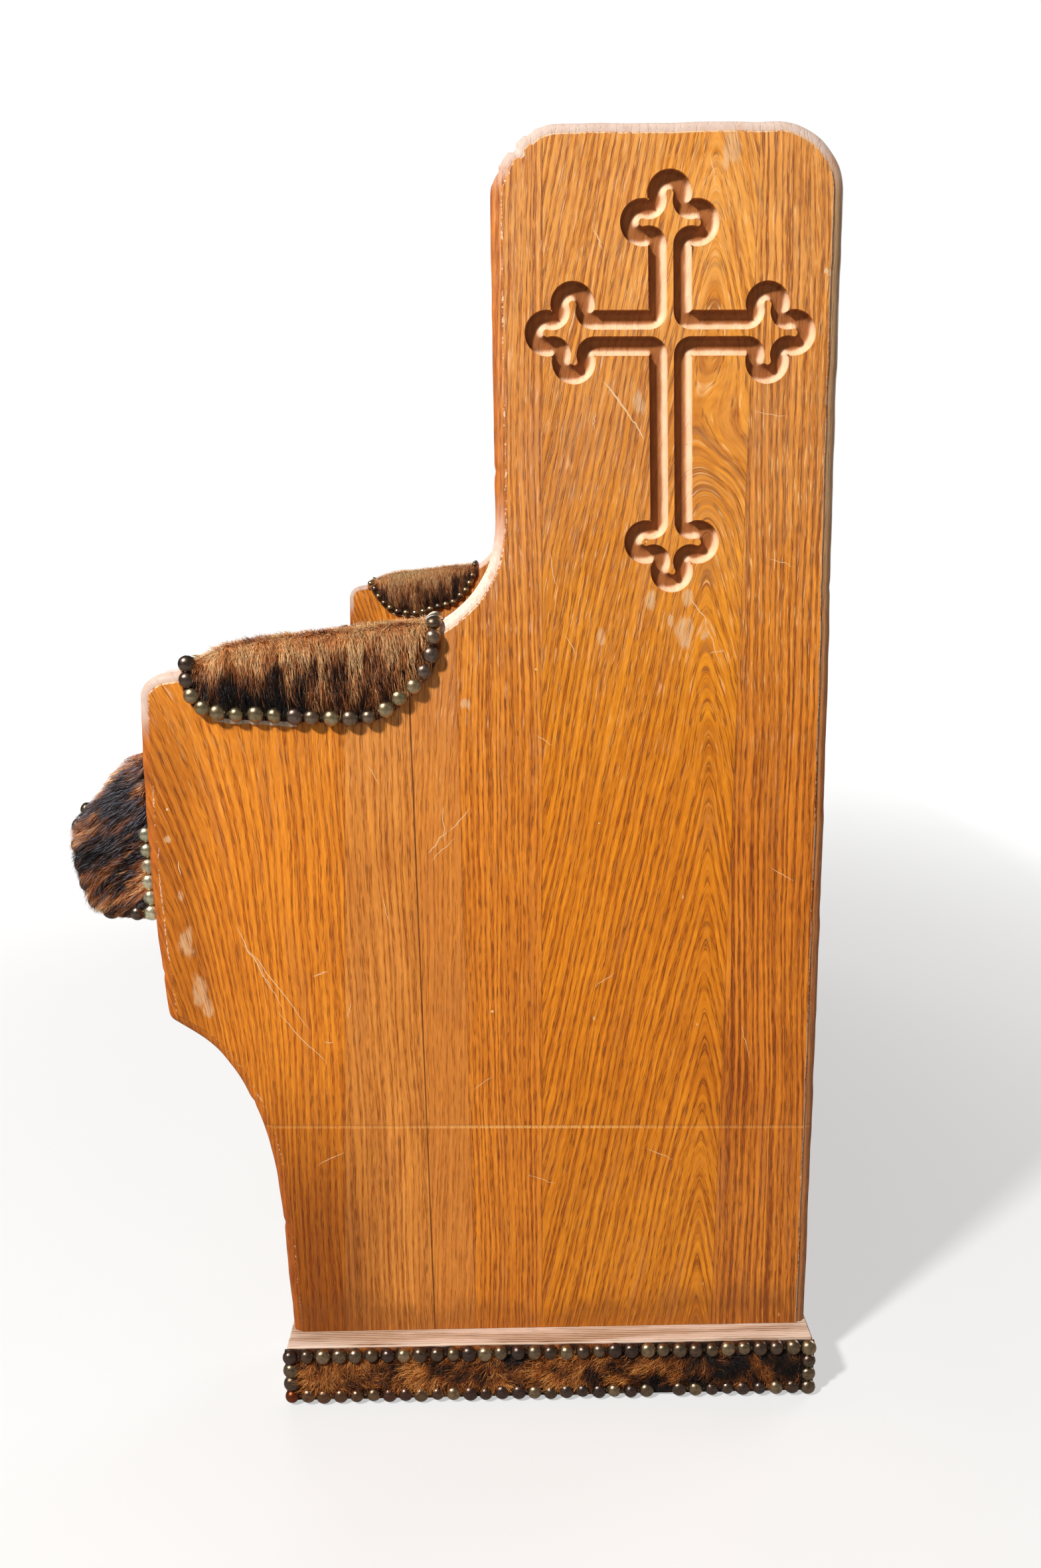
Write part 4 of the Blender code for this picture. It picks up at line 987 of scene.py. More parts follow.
    # which way each wall of the groove faces: towards the key light, up and forward, counts as 1; the material paints
    # these walls pale as painted light and the rest dark as painted shade
    go = ring_hi - ring_lo
    go /= np.maximum(np.hypot(go[:, 0], go[:, 1]), 1e-9)[:, None]
    toward_key = go @ np.array([-0.66, 0.75])
    steep = {1.0: 1.0, 0.94: 1.0, 0.80: 0.9, 0.60: 0.55, 0.36: 0.25, 0.14: 0.08}
    for a, u in enumerate(across):
        fc[first_g + a * m:first_g + (a + 1) * m] = -np.sign(u) * steep[abs(u)] * toward_key
        gr[first_g + a * m:first_g + (a + 1) * m] = 0.0 if abs(u) > 0.99 else 1.0
        dp[first_g + a * m:first_g + (a + 1) * m] = level[abs(u)] / 0.0058
    float_points(ob, edge, "edge")
    float_points(ob, shoulder, "shoulder")
    float_points(ob, gr, "groove")
    float_points(ob, dp, "deep")
    float_points(ob, fc, "toward_key")
    bm = bmesh.new()
    bm.from_mesh(me)
    bmesh.ops.recalc_face_normals(bm, faces=bm.faces)
    loose = [vv for vv in bm.verts if not vv.link_faces]
    bmesh.ops.delete(bm, geom=loose, context="VERTS")
    open_edges = sum(1 for e_ in bm.edges if len(e_.link_faces) != 2)
    bm.to_mesh(me)
    bm.free()
    me.update()
    me.set_sharp_from_angle(angle=math.radians(32))
    print(name, "faces", len(me.polygons), "open edges", open_edges, "scratches", len(good))
    return on_root(ob, "oak_varnished", node)


bench_end(1, "bench_end_right", "end_panel_right")
bench_end(-1, "bench_end_left", "end_panel_left")


# ------------------------------------------------------------------ hair-on hide
TAU = 2 * math.pi


def hair_piece(name, root, normal, comb, length, width, colour, tip, seed, segs=2, lift0=38.0, lift1=4.0, clump=0.35,
               clump_size=0.0045, curl=0.12, body_slot="cowhide"):
    """Closed, tapering three-sided hairs lying along comb, gathered a little into tufts."""
    rs = np.random.RandomState(seed)
    n = len(root)
    normal = normal / np.linalg.norm(normal, axis=1, keepdims=True)
    comb = comb - normal * np.sum(comb * normal, 1, keepdims=True)
    comb = comb / np.maximum(np.linalg.norm(comb, axis=1, keepdims=True), 1e-9)
    side = np.cross(normal, comb)
    yaw = rs.normal(0, 0.16, n)
    c0 = comb * np.cos(yaw)[:, None] + side * np.sin(yaw)[:, None]
    s0 = np.cross(normal, c0)
    lift_a = np.radians(lift0) * rs.uniform(0.55, 1.25, n)
    lift_b = np.radians(lift1) + np.radians(9) * rs.normal(0, 1, n)
    bend = rs.normal(0, curl, n)
    line = [root]
    pos = root.copy()
    for k in range(segs):
        t = (k + 0.5) / segs
        a = lift_a * (1 - t) + lift_b * t
        turn = bend * (t - 0.2) * 2
        d = (c0 * np.cos(turn)[:, None] + s0 * np.sin(turn)[:, None]) * np.cos(a)[:, None] + normal * np.sin(a)[:, None]
        pos = pos + d * (length / segs)[:, None]
        line.append(pos)
    line = np.stack(line, 1)  # n, segs+1, 3
    if clump > 0 and n > 20:
        from mathutils import kdtree
        m = max(8, int(n * 0.05))
        pick = rs.choice(n, m, replace=False)
        tree = kdtree.KDTree(m)
        for j, i in enumerate(pick):
            tree.insert(Vector(root[i]), j)
        tree.balance()
        own = np.array([tree.find(Vector(p))[1] for p in root])
        dist = np.linalg.norm(root - root[pick[own]], axis=1)
        pull = clump * rs.uniform(0.3, 1.2, n) * np.exp(-(dist / (clump_size * 2.2)) ** 2)
        lead = line[pick[own]]
        for k in range(1, segs + 1):
            t = k / segs
            target = lead[:, k] + (root - root[pick[own]]) * 0.25
            line[:, k] += (target - line[:, k]) * (pull * t)[:, None]
    ring_n = segs
    verts = np.zeros((n, 3 * ring_n + 1, 3))
    dirs = np.zeros((n, ring_n, 3))
    for k in range(ring_n):
        a = line[:, min(k + 1, segs)] - line[:, max(k - 1, 0)]
        dirs[:, k] = a / np.maximum(np.linalg.norm(a, axis=1, keepdims=True), 1e-9)
    for k in range(ring_n):
        t = k / segs
        r = width * 0.5 * (1 - t) ** 0.7
        e1 = np.cross(dirs[:, k], normal)
        e1 /= np.maximum(np.linalg.norm(e1, axis=1, keepdims=True), 1e-9)
        e2 = np.cross(dirs[:, k], e1)
        for c in range(3):
            a = TAU * c / 3 + 0.5
            verts[:, 3 * k + c] = line[:, k] + (e1 * math.cos(a) + e2 * math.sin(a)) * r[:, None]
    verts[:, -1] = line[:, -1]
    tri = [(0, 2, 1)]
    for k in range(ring_n - 1):
        for c in range(3):
            a, b = 3 * k + c, 3 * k + (c + 1) % 3
            tri += [(a, b, b + 3), (a, b + 3, a + 3)]
    top, last = 3 * ring_n, 3 * (ring_n - 1)
    for c in range(3):
        tri.append((last + c, last + (c + 1) % 3, top))
    tri = np.array(tri)
    per = 3 * ring_n + 1
    tris = (tri[None] + (np.arange(n) * per)[:, None, None]).reshape(-1, 3)
    ob = tri_mesh(name, verts.reshape(-1, 3), tris, HAIR)
    fade = np.linspace(0, 1, ring_n + 1)
    col = np.zeros((n, per, 3))
    for k in range(ring_n):
        col[:, 3 * k:3 * k + 3] = (colour * (1 - fade[k]) + tip * fade[k])[:, None]
    col[:, -1] = tip
    colour_points(ob, col.reshape(-1, 3))
    # every hair has its own small place in the baked map
    g = int(math.ceil(math.sqrt(n)))
    iu, iv = np.arange(n) % g, np.arange(n) // g
    uv_v = np.zeros((n, per, 2))
    for k in range(ring_n):
        for c in range(3):
            uv_v[:, 3 * k + c] = np.stack([(iu + 0.2 + 0.3 * c) / g, (iv + 0.12 + 0.7 * k / segs) / g], 1)
    uv_v[:, -1] = np.stack([(iu + 0.5) / g, (iv + 0.88) / g], 1)
    uv = ob.data.uv_layers.new(name="OFBake")
    uv.data.foreach_set("uv", uv_v.reshape(-1, 2)[tris.ravel()].astype(np.float32).ravel())
    return on_root(ob, body_slot)


def scatter(verts, tris, count, seed, weight=None):
    """Evenly random points on triangles: (points, normals, triangle index)."""
    rs = np.random.RandomState(seed)
    a, b, c = verts[tris[:, 0]], verts[tris[:, 1]], verts[tris[:, 2]]
    cr = np.cross(b - a, c - a)
    area = np.linalg.norm(cr, axis=1) * 0.5
    w = area if weight is None else area * weight
    pick = rs.choice(len(tris), count, p=w / w.sum())
    u, v = rs.uniform(0, 1, count), rs.uniform(0, 1, count)
    flip = u + v > 1
    u[flip], v[flip] = 1 - u[flip], 1 - v[flip]
    p = a[pick] * (1 - u - v)[:, None] + b[pick] * u[:, None] + c[pick] * v[:, None]
    nn = cr[pick] / np.maximum(np.linalg.norm(cr[pick], axis=1, keepdims=True), 1e-12)
    return p, nn, pick


def tris_of(me):
    me.calc_loop_triangles()
    t = np.zeros(len(me.loop_triangles) * 3, np.int32)
    me.loop_triangles.foreach_get("vertices", t)
    co = np.zeros(len(me.vertices) * 3, np.float32)
    me.vertices.foreach_get("co", co)
    return co.reshape(-1, 3).astype(float), t.reshape(-1, 3)


BLACK, DARK, BROWN, TAN, GOLD, GREY = (np.array(lin(*c)) for c in ((20, 15, 13), (56, 35, 21), (112, 68, 34), (184, 122, 66), (226, 178, 120), (150, 146, 144)))


WARM = np.stack([np.array(lin(*c)) for c in ((20, 15, 14), (82, 44, 22), (180, 102, 50), (250, 168, 96), (255, 216, 158))])
RUSSET = np.stack([np.array(lin(*c)) for c in ((18, 12, 10), (58, 30, 12), (134, 70, 24), (206, 118, 44), (244, 172, 92))])


def shades(f, rs, jitter=0.22, cols=None):
    """Hair colour from 0, black, to 1, gold."""
    stops = np.array([0.0, 0.25, 0.5, 0.78, 1.0])
    cols = np.stack([BLACK, DARK, BROWN, TAN, GOLD]) if cols is None else cols
    f = np.clip(f, 0, 1)
    out = np.stack([np.interp(f, stops, cols[:, c]) for c in range(3)], 1)
    return out * np.exp(rs.normal(0, jitter, len(out)))[:, None]


# ------------------------------------------------------------------ padded arms
def flap_z(flap, y):
    line = np.array(smooth_through(flap, 6))
    return float(np.interp(y, line[:, 0], line[:, 1]))


def arm_pad(s, side):
    y0, y1 = FLAP_OUTER[0][0], FLAP_OUTER[-1][0]
    ns = 84
    ys = y0 + (y1 - y0) * (0.5 - 0.5 * np.cos(np.linspace(0, math.pi, ns))) * 0.35 + (y1 - y0) * np.linspace(0, 1, ns) * 0.65
    grid, base, info = [], [], []
    r = 0.0062
    trim = 0.0016  # the hide is cut close under the nails
    for y in ys:
        top = arm_top(y)
        zo = min(flap_z(FLAP_OUTER, y) + trim, top - r - 0.0004)
        zi = min(flap_z(FLAP_INNER, min(max(y, FLAP_INNER[0][0]), FLAP_INNER[-1][0])) + trim, top - r - 0.0004)
        pts = []
        for t in np.linspace(0, 1, 17)[:-1]:
            pts.append((X_OUT, zo + (top - r - zo) * t, 1.0, 0.0))
        for a in np.linspace(0, math.pi / 2, 7)[:-1]:
            pts.append((X_OUT - r + r * math.cos(a), top - r + r * math.sin(a), math.cos(a), math.sin(a)))
        for t in np.linspace(0, 1, 15)[:-1]:
            pts.append((X_OUT - r + (X_IN - X_OUT + 2 * r) * t, top, 0.0, 1.0))
        for a in np.linspace(math.pi / 2, math.pi, 7)[:-1]:
            pts.append((X_IN + r + r * math.cos(a), top - r + r * math.sin(a), math.cos(a), math.sin(a)))
        for t in np.linspace(0, 1, 17):
            pts.append((X_IN, top - r + (zi - top + r) * t, -1.0, 0.0))
        q = np.array(pts)
        d = np.concatenate([[0], np.cumsum(np.hypot(q[1:, 0] - q[:-1, 0], q[1:, 1] - q[:-1, 1]))])
        from_out, from_in = d, d[-1] - d
        from_end = min(y - y0, y1 - y)
        e_end = float(sstep(from_end, 0.006, 0.034)) ** 0.8
        e_flap = sstep(np.minimum(from_out, from_in), 0.0075, 0.026) ** 0.8
        fore = float(sstep(-y, 0.060, 0.190))
        crown = 0.0058 + (0.0008 + 0.0042 * fore) * np.clip(q[:, 3], 0, 1)
        lump = vnoise(np.stack([d * 34, np.full(len(d), y * 40), np.full(len(d), s * 3.0)], 1), 31) - 0.5
        h = 0.0029 + (crown - 0.0029 + lump * 0.0026) * e_end * e_flap
        row, brow = [], []
        for (x, z, nx, nz), hh in zip(pts, h):
            row.append((x + nx * hh, y, z + nz * hh))
            brow.append((x + nx * GAP, y, z + nz * GAP))
        grid.append(row)
        base.append(brow)
        info.append(np.stack([np.minimum(from_out, from_in), np.full(len(d), from_end), d / d[-1], np.full(len(d), top)], 1))
    m = len(grid[0])
    g = np.array(grid).reshape(-1, 3)
    b = np.array(base).reshape(-1, 3)
    inf = np.array(info).reshape(-1, 4)
    verts = np.concatenate([g, b])
    n = len(g)
    faces = []
    for i in range(ns - 1):
        for j in range(m - 1):
            q = (i * m + j, (i + 1) * m + j, (i + 1) * m + j + 1, i * m + j + 1)
            faces.append(q)
            faces.append(tuple(n + k for k in reversed(q)))
    for i in range(ns - 1):
        for j, rev in ((0, True), (m - 1, False)):
            q = (i * m + j, (i + 1) * m + j, n + (i + 1) * m + j, n + i * m + j)
            faces.append(tuple(reversed(q)) if rev else q)
    for i, rev in ((0, False), (ns - 1, True)):
        for j in range(m - 1):
            q = (i * m + j, i * m + j + 1, n + i * m + j + 1, n + i * m + j)
            faces.append(tuple(reversed(q)) if rev else q)
    verts[:, 1] += YS
    if s < 0:
        verts[:, 0] *= -1
        faces = [tuple(reversed(f)) for f in faces]
    ob = put("arm_pad_" + side, verts, faces, SKIN, sharp=50)
    bm = bmesh.new()
    bm.from_mesh(ob.data)
    bmesh.ops.recalc_face_normals(bm, faces=bm.faces)
    bm.to_mesh(ob.data)
    bm.free()
    # hair from the outer surface
    tri = []
    for i in range(ns - 1):
        for j in range(m - 1):
            a, b_, c, d_ = i * m + j, (i + 1) * m + j, (i + 1) * m + j + 1, i * m + j + 1
            tri += [(a, b_, c), (a, c, d_)]
    tri = np.array(tri)
    mid = inf[tri].mean(1)
    ok = (np.minimum(mid[:, 0], mid[:, 1]) > 0.0056).astype(float)
    count = 12500
    p, nn, pick = scatter(verts[:n], tri, count, 300 + (s > 0), ok * 1.0)
    nn *= np.sign(np.sum(nn * (p - np.array([s * (X_OUT + X_IN) / 2, 0, 0])) * np.array([1, 0, 1]), 1, keepdims=True) + 1e-9) * 1.0
    pi = mid[pick]
    # outward normals: away from the middle of the arm's wood
    centre = np.stack([np.full(len(p), s * (X_OUT + X_IN) / 2), p[:, 1], np.minimum(p[:, 2], pi[:, 3] - 0.012)], 1)
    flip = np.sum(nn * (p - centre), 1) < 0
    nn[flip] *= -1
    rs = np.random.RandomState(400 + (s > 0))
    down = np.zeros_like(p)
    down[:, 2] = -1.0
    down[:, 1] = 0.10
    # on top the hair parts along the inner side and falls outwards
    near = s * (p[:, 0]) > X_IN + 0.010
    down[:, 0] += np.where(near, 1.0, -1.0) * s * np.clip(nn[:, 2], 0, 1) * 1.6
    edge_d = np.minimum(pi[:, 0], pi[:, 1])
    length = np.minimum(rs.uniform(0.009, 0.0155, len(p)), 0.0045 + 0.85 * edge_d) * rs.uniform(0.8, 1.1, len(p))
    up = sstep(p[:, 2] - pi[:, 3], -0.020, 0.008)
    streak = fbm(np.stack([p[:, 1] * 190, p[:, 2] * 26, p[:, 0] * 60], 1), 41, 2)
    patch = fbm(np.stack([p[:, 1] * 38, p[:, 2] * 24, p[:, 0] * 30], 1), 43, 2)
    darks = sstep(fbm(np.stack([p[:, 1] * 30 + 2, p[:, 2] * 6, p[:, 0] * 8], 1), 45, 2), 0.50, 0.66)
    f = 0.38 + 0.46 * up + (streak - 0.5) * 1.45 + (patch - 0.5) * 0.85 - 0.50 * darks + rs.normal(0, 0.15, len(p))
    f -= 0.22 * sstep(0.020 - edge_d, 0.0, 0.012)
    stray = rs.uniform(0, 1, len(p)) < 0.12
    f[stray] += 0.45
    # painted light: the hair along the top of the pad is lightened further, as if lit from above
    f += 0.34 * sstep(p[:, 2] - pi[:, 3], -0.006, 0.002)
    col = shades(f, rs, 0.26, WARM)
    tipc = shades(f + 0.16, rs, 0.26, WARM)
    hair_piece("arm_hair_" + side, p, nn, down, length, rs.uniform(0.00026, 0.00046, len(p)), col, tipc, 500 + (s > 0), segs=3,
               lift0=34, lift1=2, clump=0.5, curl=0.20)
    # the skin's own patches
    vp = verts
    fu = 0.18 + 0.56 * sstep(vp[:, 2] - np.concatenate([inf[:, 3], inf[:, 3]]), -0.02, 0.008) + (fbm(np.stack([vp[:, 1] * 38, vp[:, 2] * 24, vp[:, 0] * 30], 1), 43, 2) - 0.5) * 0.7
    colour_points(ob, shades(fu, np.random.RandomState(5), 0.0, WARM) * 0.8)
    on_root(ob, "cowhide", "arm_foam_" + side, "arm_hide_" + side)
    return ob


PADS = {"right": arm_pad(1, "right"), "left": arm_pad(-1, "left")}


# ------------------------------------------------------------------ seat cushion, inflated as cloth
def seat_cushion():
    nose = [p for p in smooth_through(NOSE, 6)]
    back = 0.0925
    nose = [p for p in nose if p[0] < back - 0.001]
    poly = [(-0.2857, 0.3762)] + [p for p in nose if p[0] < -0.2857 or p[1] > 0.42] + [(back, 0.4790), (back, 0.4406), (-0.2857, 0.4406)]
    pts = np.array(poly)
    area2 = np.sum(pts[:, 0] * np.roll(pts[:, 1], -1) - np.roll(pts[:, 0], -1) * pts[:, 1])
    inset = offset_loop(pts, 0.0040 if area2 < 0 else -0.0040)
    flat = (pts[:, 1] < 0.4407) & (pts[:, 0] > -0.2858)
    inset[flat] = pts[flat]
    half = 0.5655
    cu = bpy.data.curves.new("seat_outline", "CURVE")
    cu.dimensions, cu.fill_mode, cu.extrude = "2D", "BOTH", half
    sp = cu.splines.new("POLY")
    sp.points.add(len(inset) - 1)
    for q, (y, z) in zip(sp.points, inset):
        q.co = (y, z, 0.0, 1.0)
    sp.use_cyclic_u = True
    tmp = bpy.data.objects.new("seat_outline", cu)
    SCENE.collection.objects.link(tmp)
    bpy.context.view_layer.update()
    me = bpy.data.meshes.new_from_object(tmp.evaluated_get(bpy.context.evaluated_depsgraph_get()))
    bpy.data.objects.remove(tmp, do_unlink=True)
    bm = bmesh.new()
    bm.from_mesh(me)
    bmesh.ops.remove_doubles(bm, verts=bm.verts, dist=1e-6)
    bmesh.ops.recalc_face_normals(bm, faces=bm.faces)
    bm.to_mesh(me)
    bm.free()
    me.transform(Matrix(((0, 0, 1, 0), (1, 0, 0, YS), (0, 1, 0, 0), (0, 0, 0, 1))))
    ob = bpy.data.objects.new("seat_cushion", me)
    SCENE.collection.objects.link(ob)
    rm = ob.modifiers.new("remesh", "REMESH")
    rm.mode, rm.voxel_size, rm.use_smooth_shade = "VOXEL", 0.0078, True
    bpy.context.view_layer.update()
    me2 = bpy.data.meshes.new_from_object(ob.evaluated_get(bpy.context.evaluated_depsgraph_get()))
    ob.modifiers.clear()
    ob.data = me2
    n = len(me2.vertices)
    start = np.zeros(n * 3, np.float32)
    me2.vertices.foreach_get("co", start)
    start = start.reshape(-1, 3).astype(float)
    y, z = start[:, 1] - YS, start[:, 2]
    held = ((z < 0.4445) & (y > -0.2905)) | (y > back - 0.012) | ((z < 0.4445) & (y > -0.2905))
    vg = ob.vertex_groups.new(name="held")
    vg.add([int(i) for i in np.nonzero(held)[0]], 1.0, "REPLACE")
    cl = ob.modifiers.new("cloth", "CLOTH")
    st = cl.settings
    st.quality = 5
    st.mass = 0.3
    st.tension_stiffness = st.compression_stiffness = 15
    st.shear_stiffness = 5
    st.bending_stiffness = 0.5
    st.use_pressure = True
    st.uniform_pressure_force = 4.0
    st.vertex_group_mass = "held"
    st.effector_weights.gravity = 0.0
    cl.collision_settings.use_collision = False
    for fr in range(1, 21):
        SCENE.frame_set(fr)
    ev = ob.evaluated_get(bpy.context.evaluated_depsgraph_get())
    end = np.zeros(n * 3, np.float32)
    ev.data.vertices.foreach_get("co", end)
    end = end.reshape(-1, 3).astype(float)
    ob.modifiers.clear()
    ob.vertex_groups.clear()
    SCENE.frame_set(1)
    move = end - start
    # the hide is drawn down tight: what is left is the swelling square to the surface
    nrm = np.zeros(n * 3, np.float32)
    me2.vertices.foreach_get("normal", nrm)
    nrm = nrm.reshape(-1, 3).astype(float)
    out = np.sum(move * nrm, 1)
    side = move - nrm * out[:, None]
    slide = np.linalg.norm(side, axis=1, keepdims=True)
    side *= np.minimum(1.0, 0.0012 / np.maximum(slide, 1e-9))
    lift = 0.0036 * np.tanh(np.maximum(out, 0.0) / 0.0060) + 0.0002
    now = start + nrm * np.where(held, 0.0, lift)[:, None] + side
    lump = fbm(np.stack([now[:, 0] * 7, now[:, 1] * 9, now[:, 2] * 9], 1), 61, 3) - 0.5
    free = 1.0 - held.astype(float)
    now[:, 2] += lump * 0.0050 * free * sstep(now[:, 2], 0.455, 0.49)
    lim = 0.5702
    now[:, 0] = np.clip(now[:, 0], -lim, lim)
    now[:, 2] = np.clip(now[:, 2], 0.3758, 0.5105)
    me2.vertices.foreach_set("co", now.astype(np.float32).ravel())
    ss = ob.modifiers.new("smooth", "SUBSURF")
    ss.levels = ss.render_levels = 1
    bpy.context.view_layer.update()
    me3 = bpy.data.meshes.new_from_object(ob.evaluated_get(bpy.context.evaluated_depsgraph_get()))
    ob.modifiers.clear()
    ob.data = me3
    me3.materials.clear()
    me3.materials.append(SKIN)
    me3.shade_smooth()
    return ob


def seat_tone(p):
    """Brindle: darker and lighter stripes across the hide, tan along the nose."""
    x, y, z = p[:, 0], p[:, 1] - YS, p[:, 2]
    along = np.where(z < 0.47, y + (z - 0.47), y)
    warp = fbm(np.stack([x * 5, along * 6, x * 0], 1), 71, 3) * 2.2
    stripe = np.sin((x * 34 + warp * 4.4 + along * 6))
    fine = fbm(np.stack([x * 120, along * 16, z * 16], 1), 73, 3)
    patch = fbm(np.stack([x * 6, along * 9, z * 9], 1), 75, 2)
    f = 0.30 + 0.22 * stripe * sstep(patch, 0.35, 0.62) + (fine - 0.5) * 1.35 + (patch - 0.5) * 0.7
    return f


def seat():
    ob = seat_cushion()
    v, t = tris_of(ob.data)
    colour_points(ob, shades(seat_tone(v) * 0.75 - 0.05, np.random.RandomState(6), 0.0) * 0.8)
    on_root(ob, "cowhide", "seat_foam", "seat_hide")
    a, b, c = v[t[:, 0]], v[t[:, 1]], v[t[:, 2]]
    cen = (a + b + c) / 3
    nn = np.cross(b - a, c - a)
    nn /= np.maximum(np.linalg.norm(nn, axis=1, keepdims=True), 1e-12)
    yl, z, x = cen[:, 1] - YS, cen[:, 2], cen[:, 0]
    shown = (yl < 0.088) & ~((nn[:, 2] < -0.6) & (yl > -0.292)) & ~((z < 0.4415) & (yl > -0.288)) & ~((nn[:, 1] > 0.5) & (yl < -0.2))
    endface = np.abs(nn[:, 0]) > 0.6
    shown &= ~endface
    w = shown.astype(float)
    # (name, how many, which)
    jobs = []
    tip_r = shown & (x > 0.5) & (yl < -0.235)
    tip_l = shown & (x < -0.5) & (yl < -0.235)
    rest = shown & ~tip_r & ~tip_l
    jobs.append(("seat_hair_end_right", 6000, tip_r, 0.0150, 0.00050))
    jobs.append(("seat_hair_end_left", 4800, tip_l, 0.0150, 0.00056))
    edges = np.array([-0.58, -0.36, -0.12, 0.12, 0.36, 0.58])
    for k in range(5):
        part = rest & (x >= edges[k]) & (x < edges[k + 1])
        jobs.append(("seat_hair_%d" % (k + 1), 13500, part, 0.019, 0.00066))
    for k, (nm, count, which, ln, wd) in enumerate(jobs):
        if not which.any():
            continue
        p, pn, pick = scatter(v, t, count, 800 + k, which.astype(float) * (1.0 + 1.2 * (cen[:, 1] - YS < -0.29)))
        rs = np.random.RandomState(820 + k)
        py, pz, px = p[:, 1] - YS, p[:, 2], p[:, 0]
        comb = np.zeros_like(p)
        comb[:, 1] = -1.0
        comb[:, 2] = -0.9 * sstep(-py, 0.27, 0.31)
        swirl = fbm(np.stack([px * 4, py * 5, pz * 0], 1), 83, 2) - 0.5
        comb[:, 0] = swirl * 0.9
        on_end = np.abs(pn[:, 0]) > 0.6
        comb[on_end] = np.array([0.0, -0.80, -0.62])
        f = seat_tone(p) + rs.normal(0, 0.12, count)
        # golden rim low on the nose, black higher up
        low = sstep(0.420 - pz, 0.0, 0.035) * sstep(-py, 0.285, 0.305)
        f = f + low * 0.30
        f[on_end] += -0.06
        stray = rs.uniform(0, 1, count) < 0.08
        f[stray] += 0.35
        length = rs.uniform(0.65, 1.0, count) * ln
        bottom = sstep(pz, 0.376, 0.392)
        length = length * (0.5 + 0.5 * bottom)
        hair_piece(nm, p, pn, comb, length, rs.uniform(0.7, 1.2, count) * wd, shades(f, rs), shades(f + 0.15, rs), 840 + k,
                   segs=3 if "end" in nm else 2, lift0=30, lift1=2, clump=0.45, clump_size=0.006, curl=0.22)
    return ob


SEAT = seat()


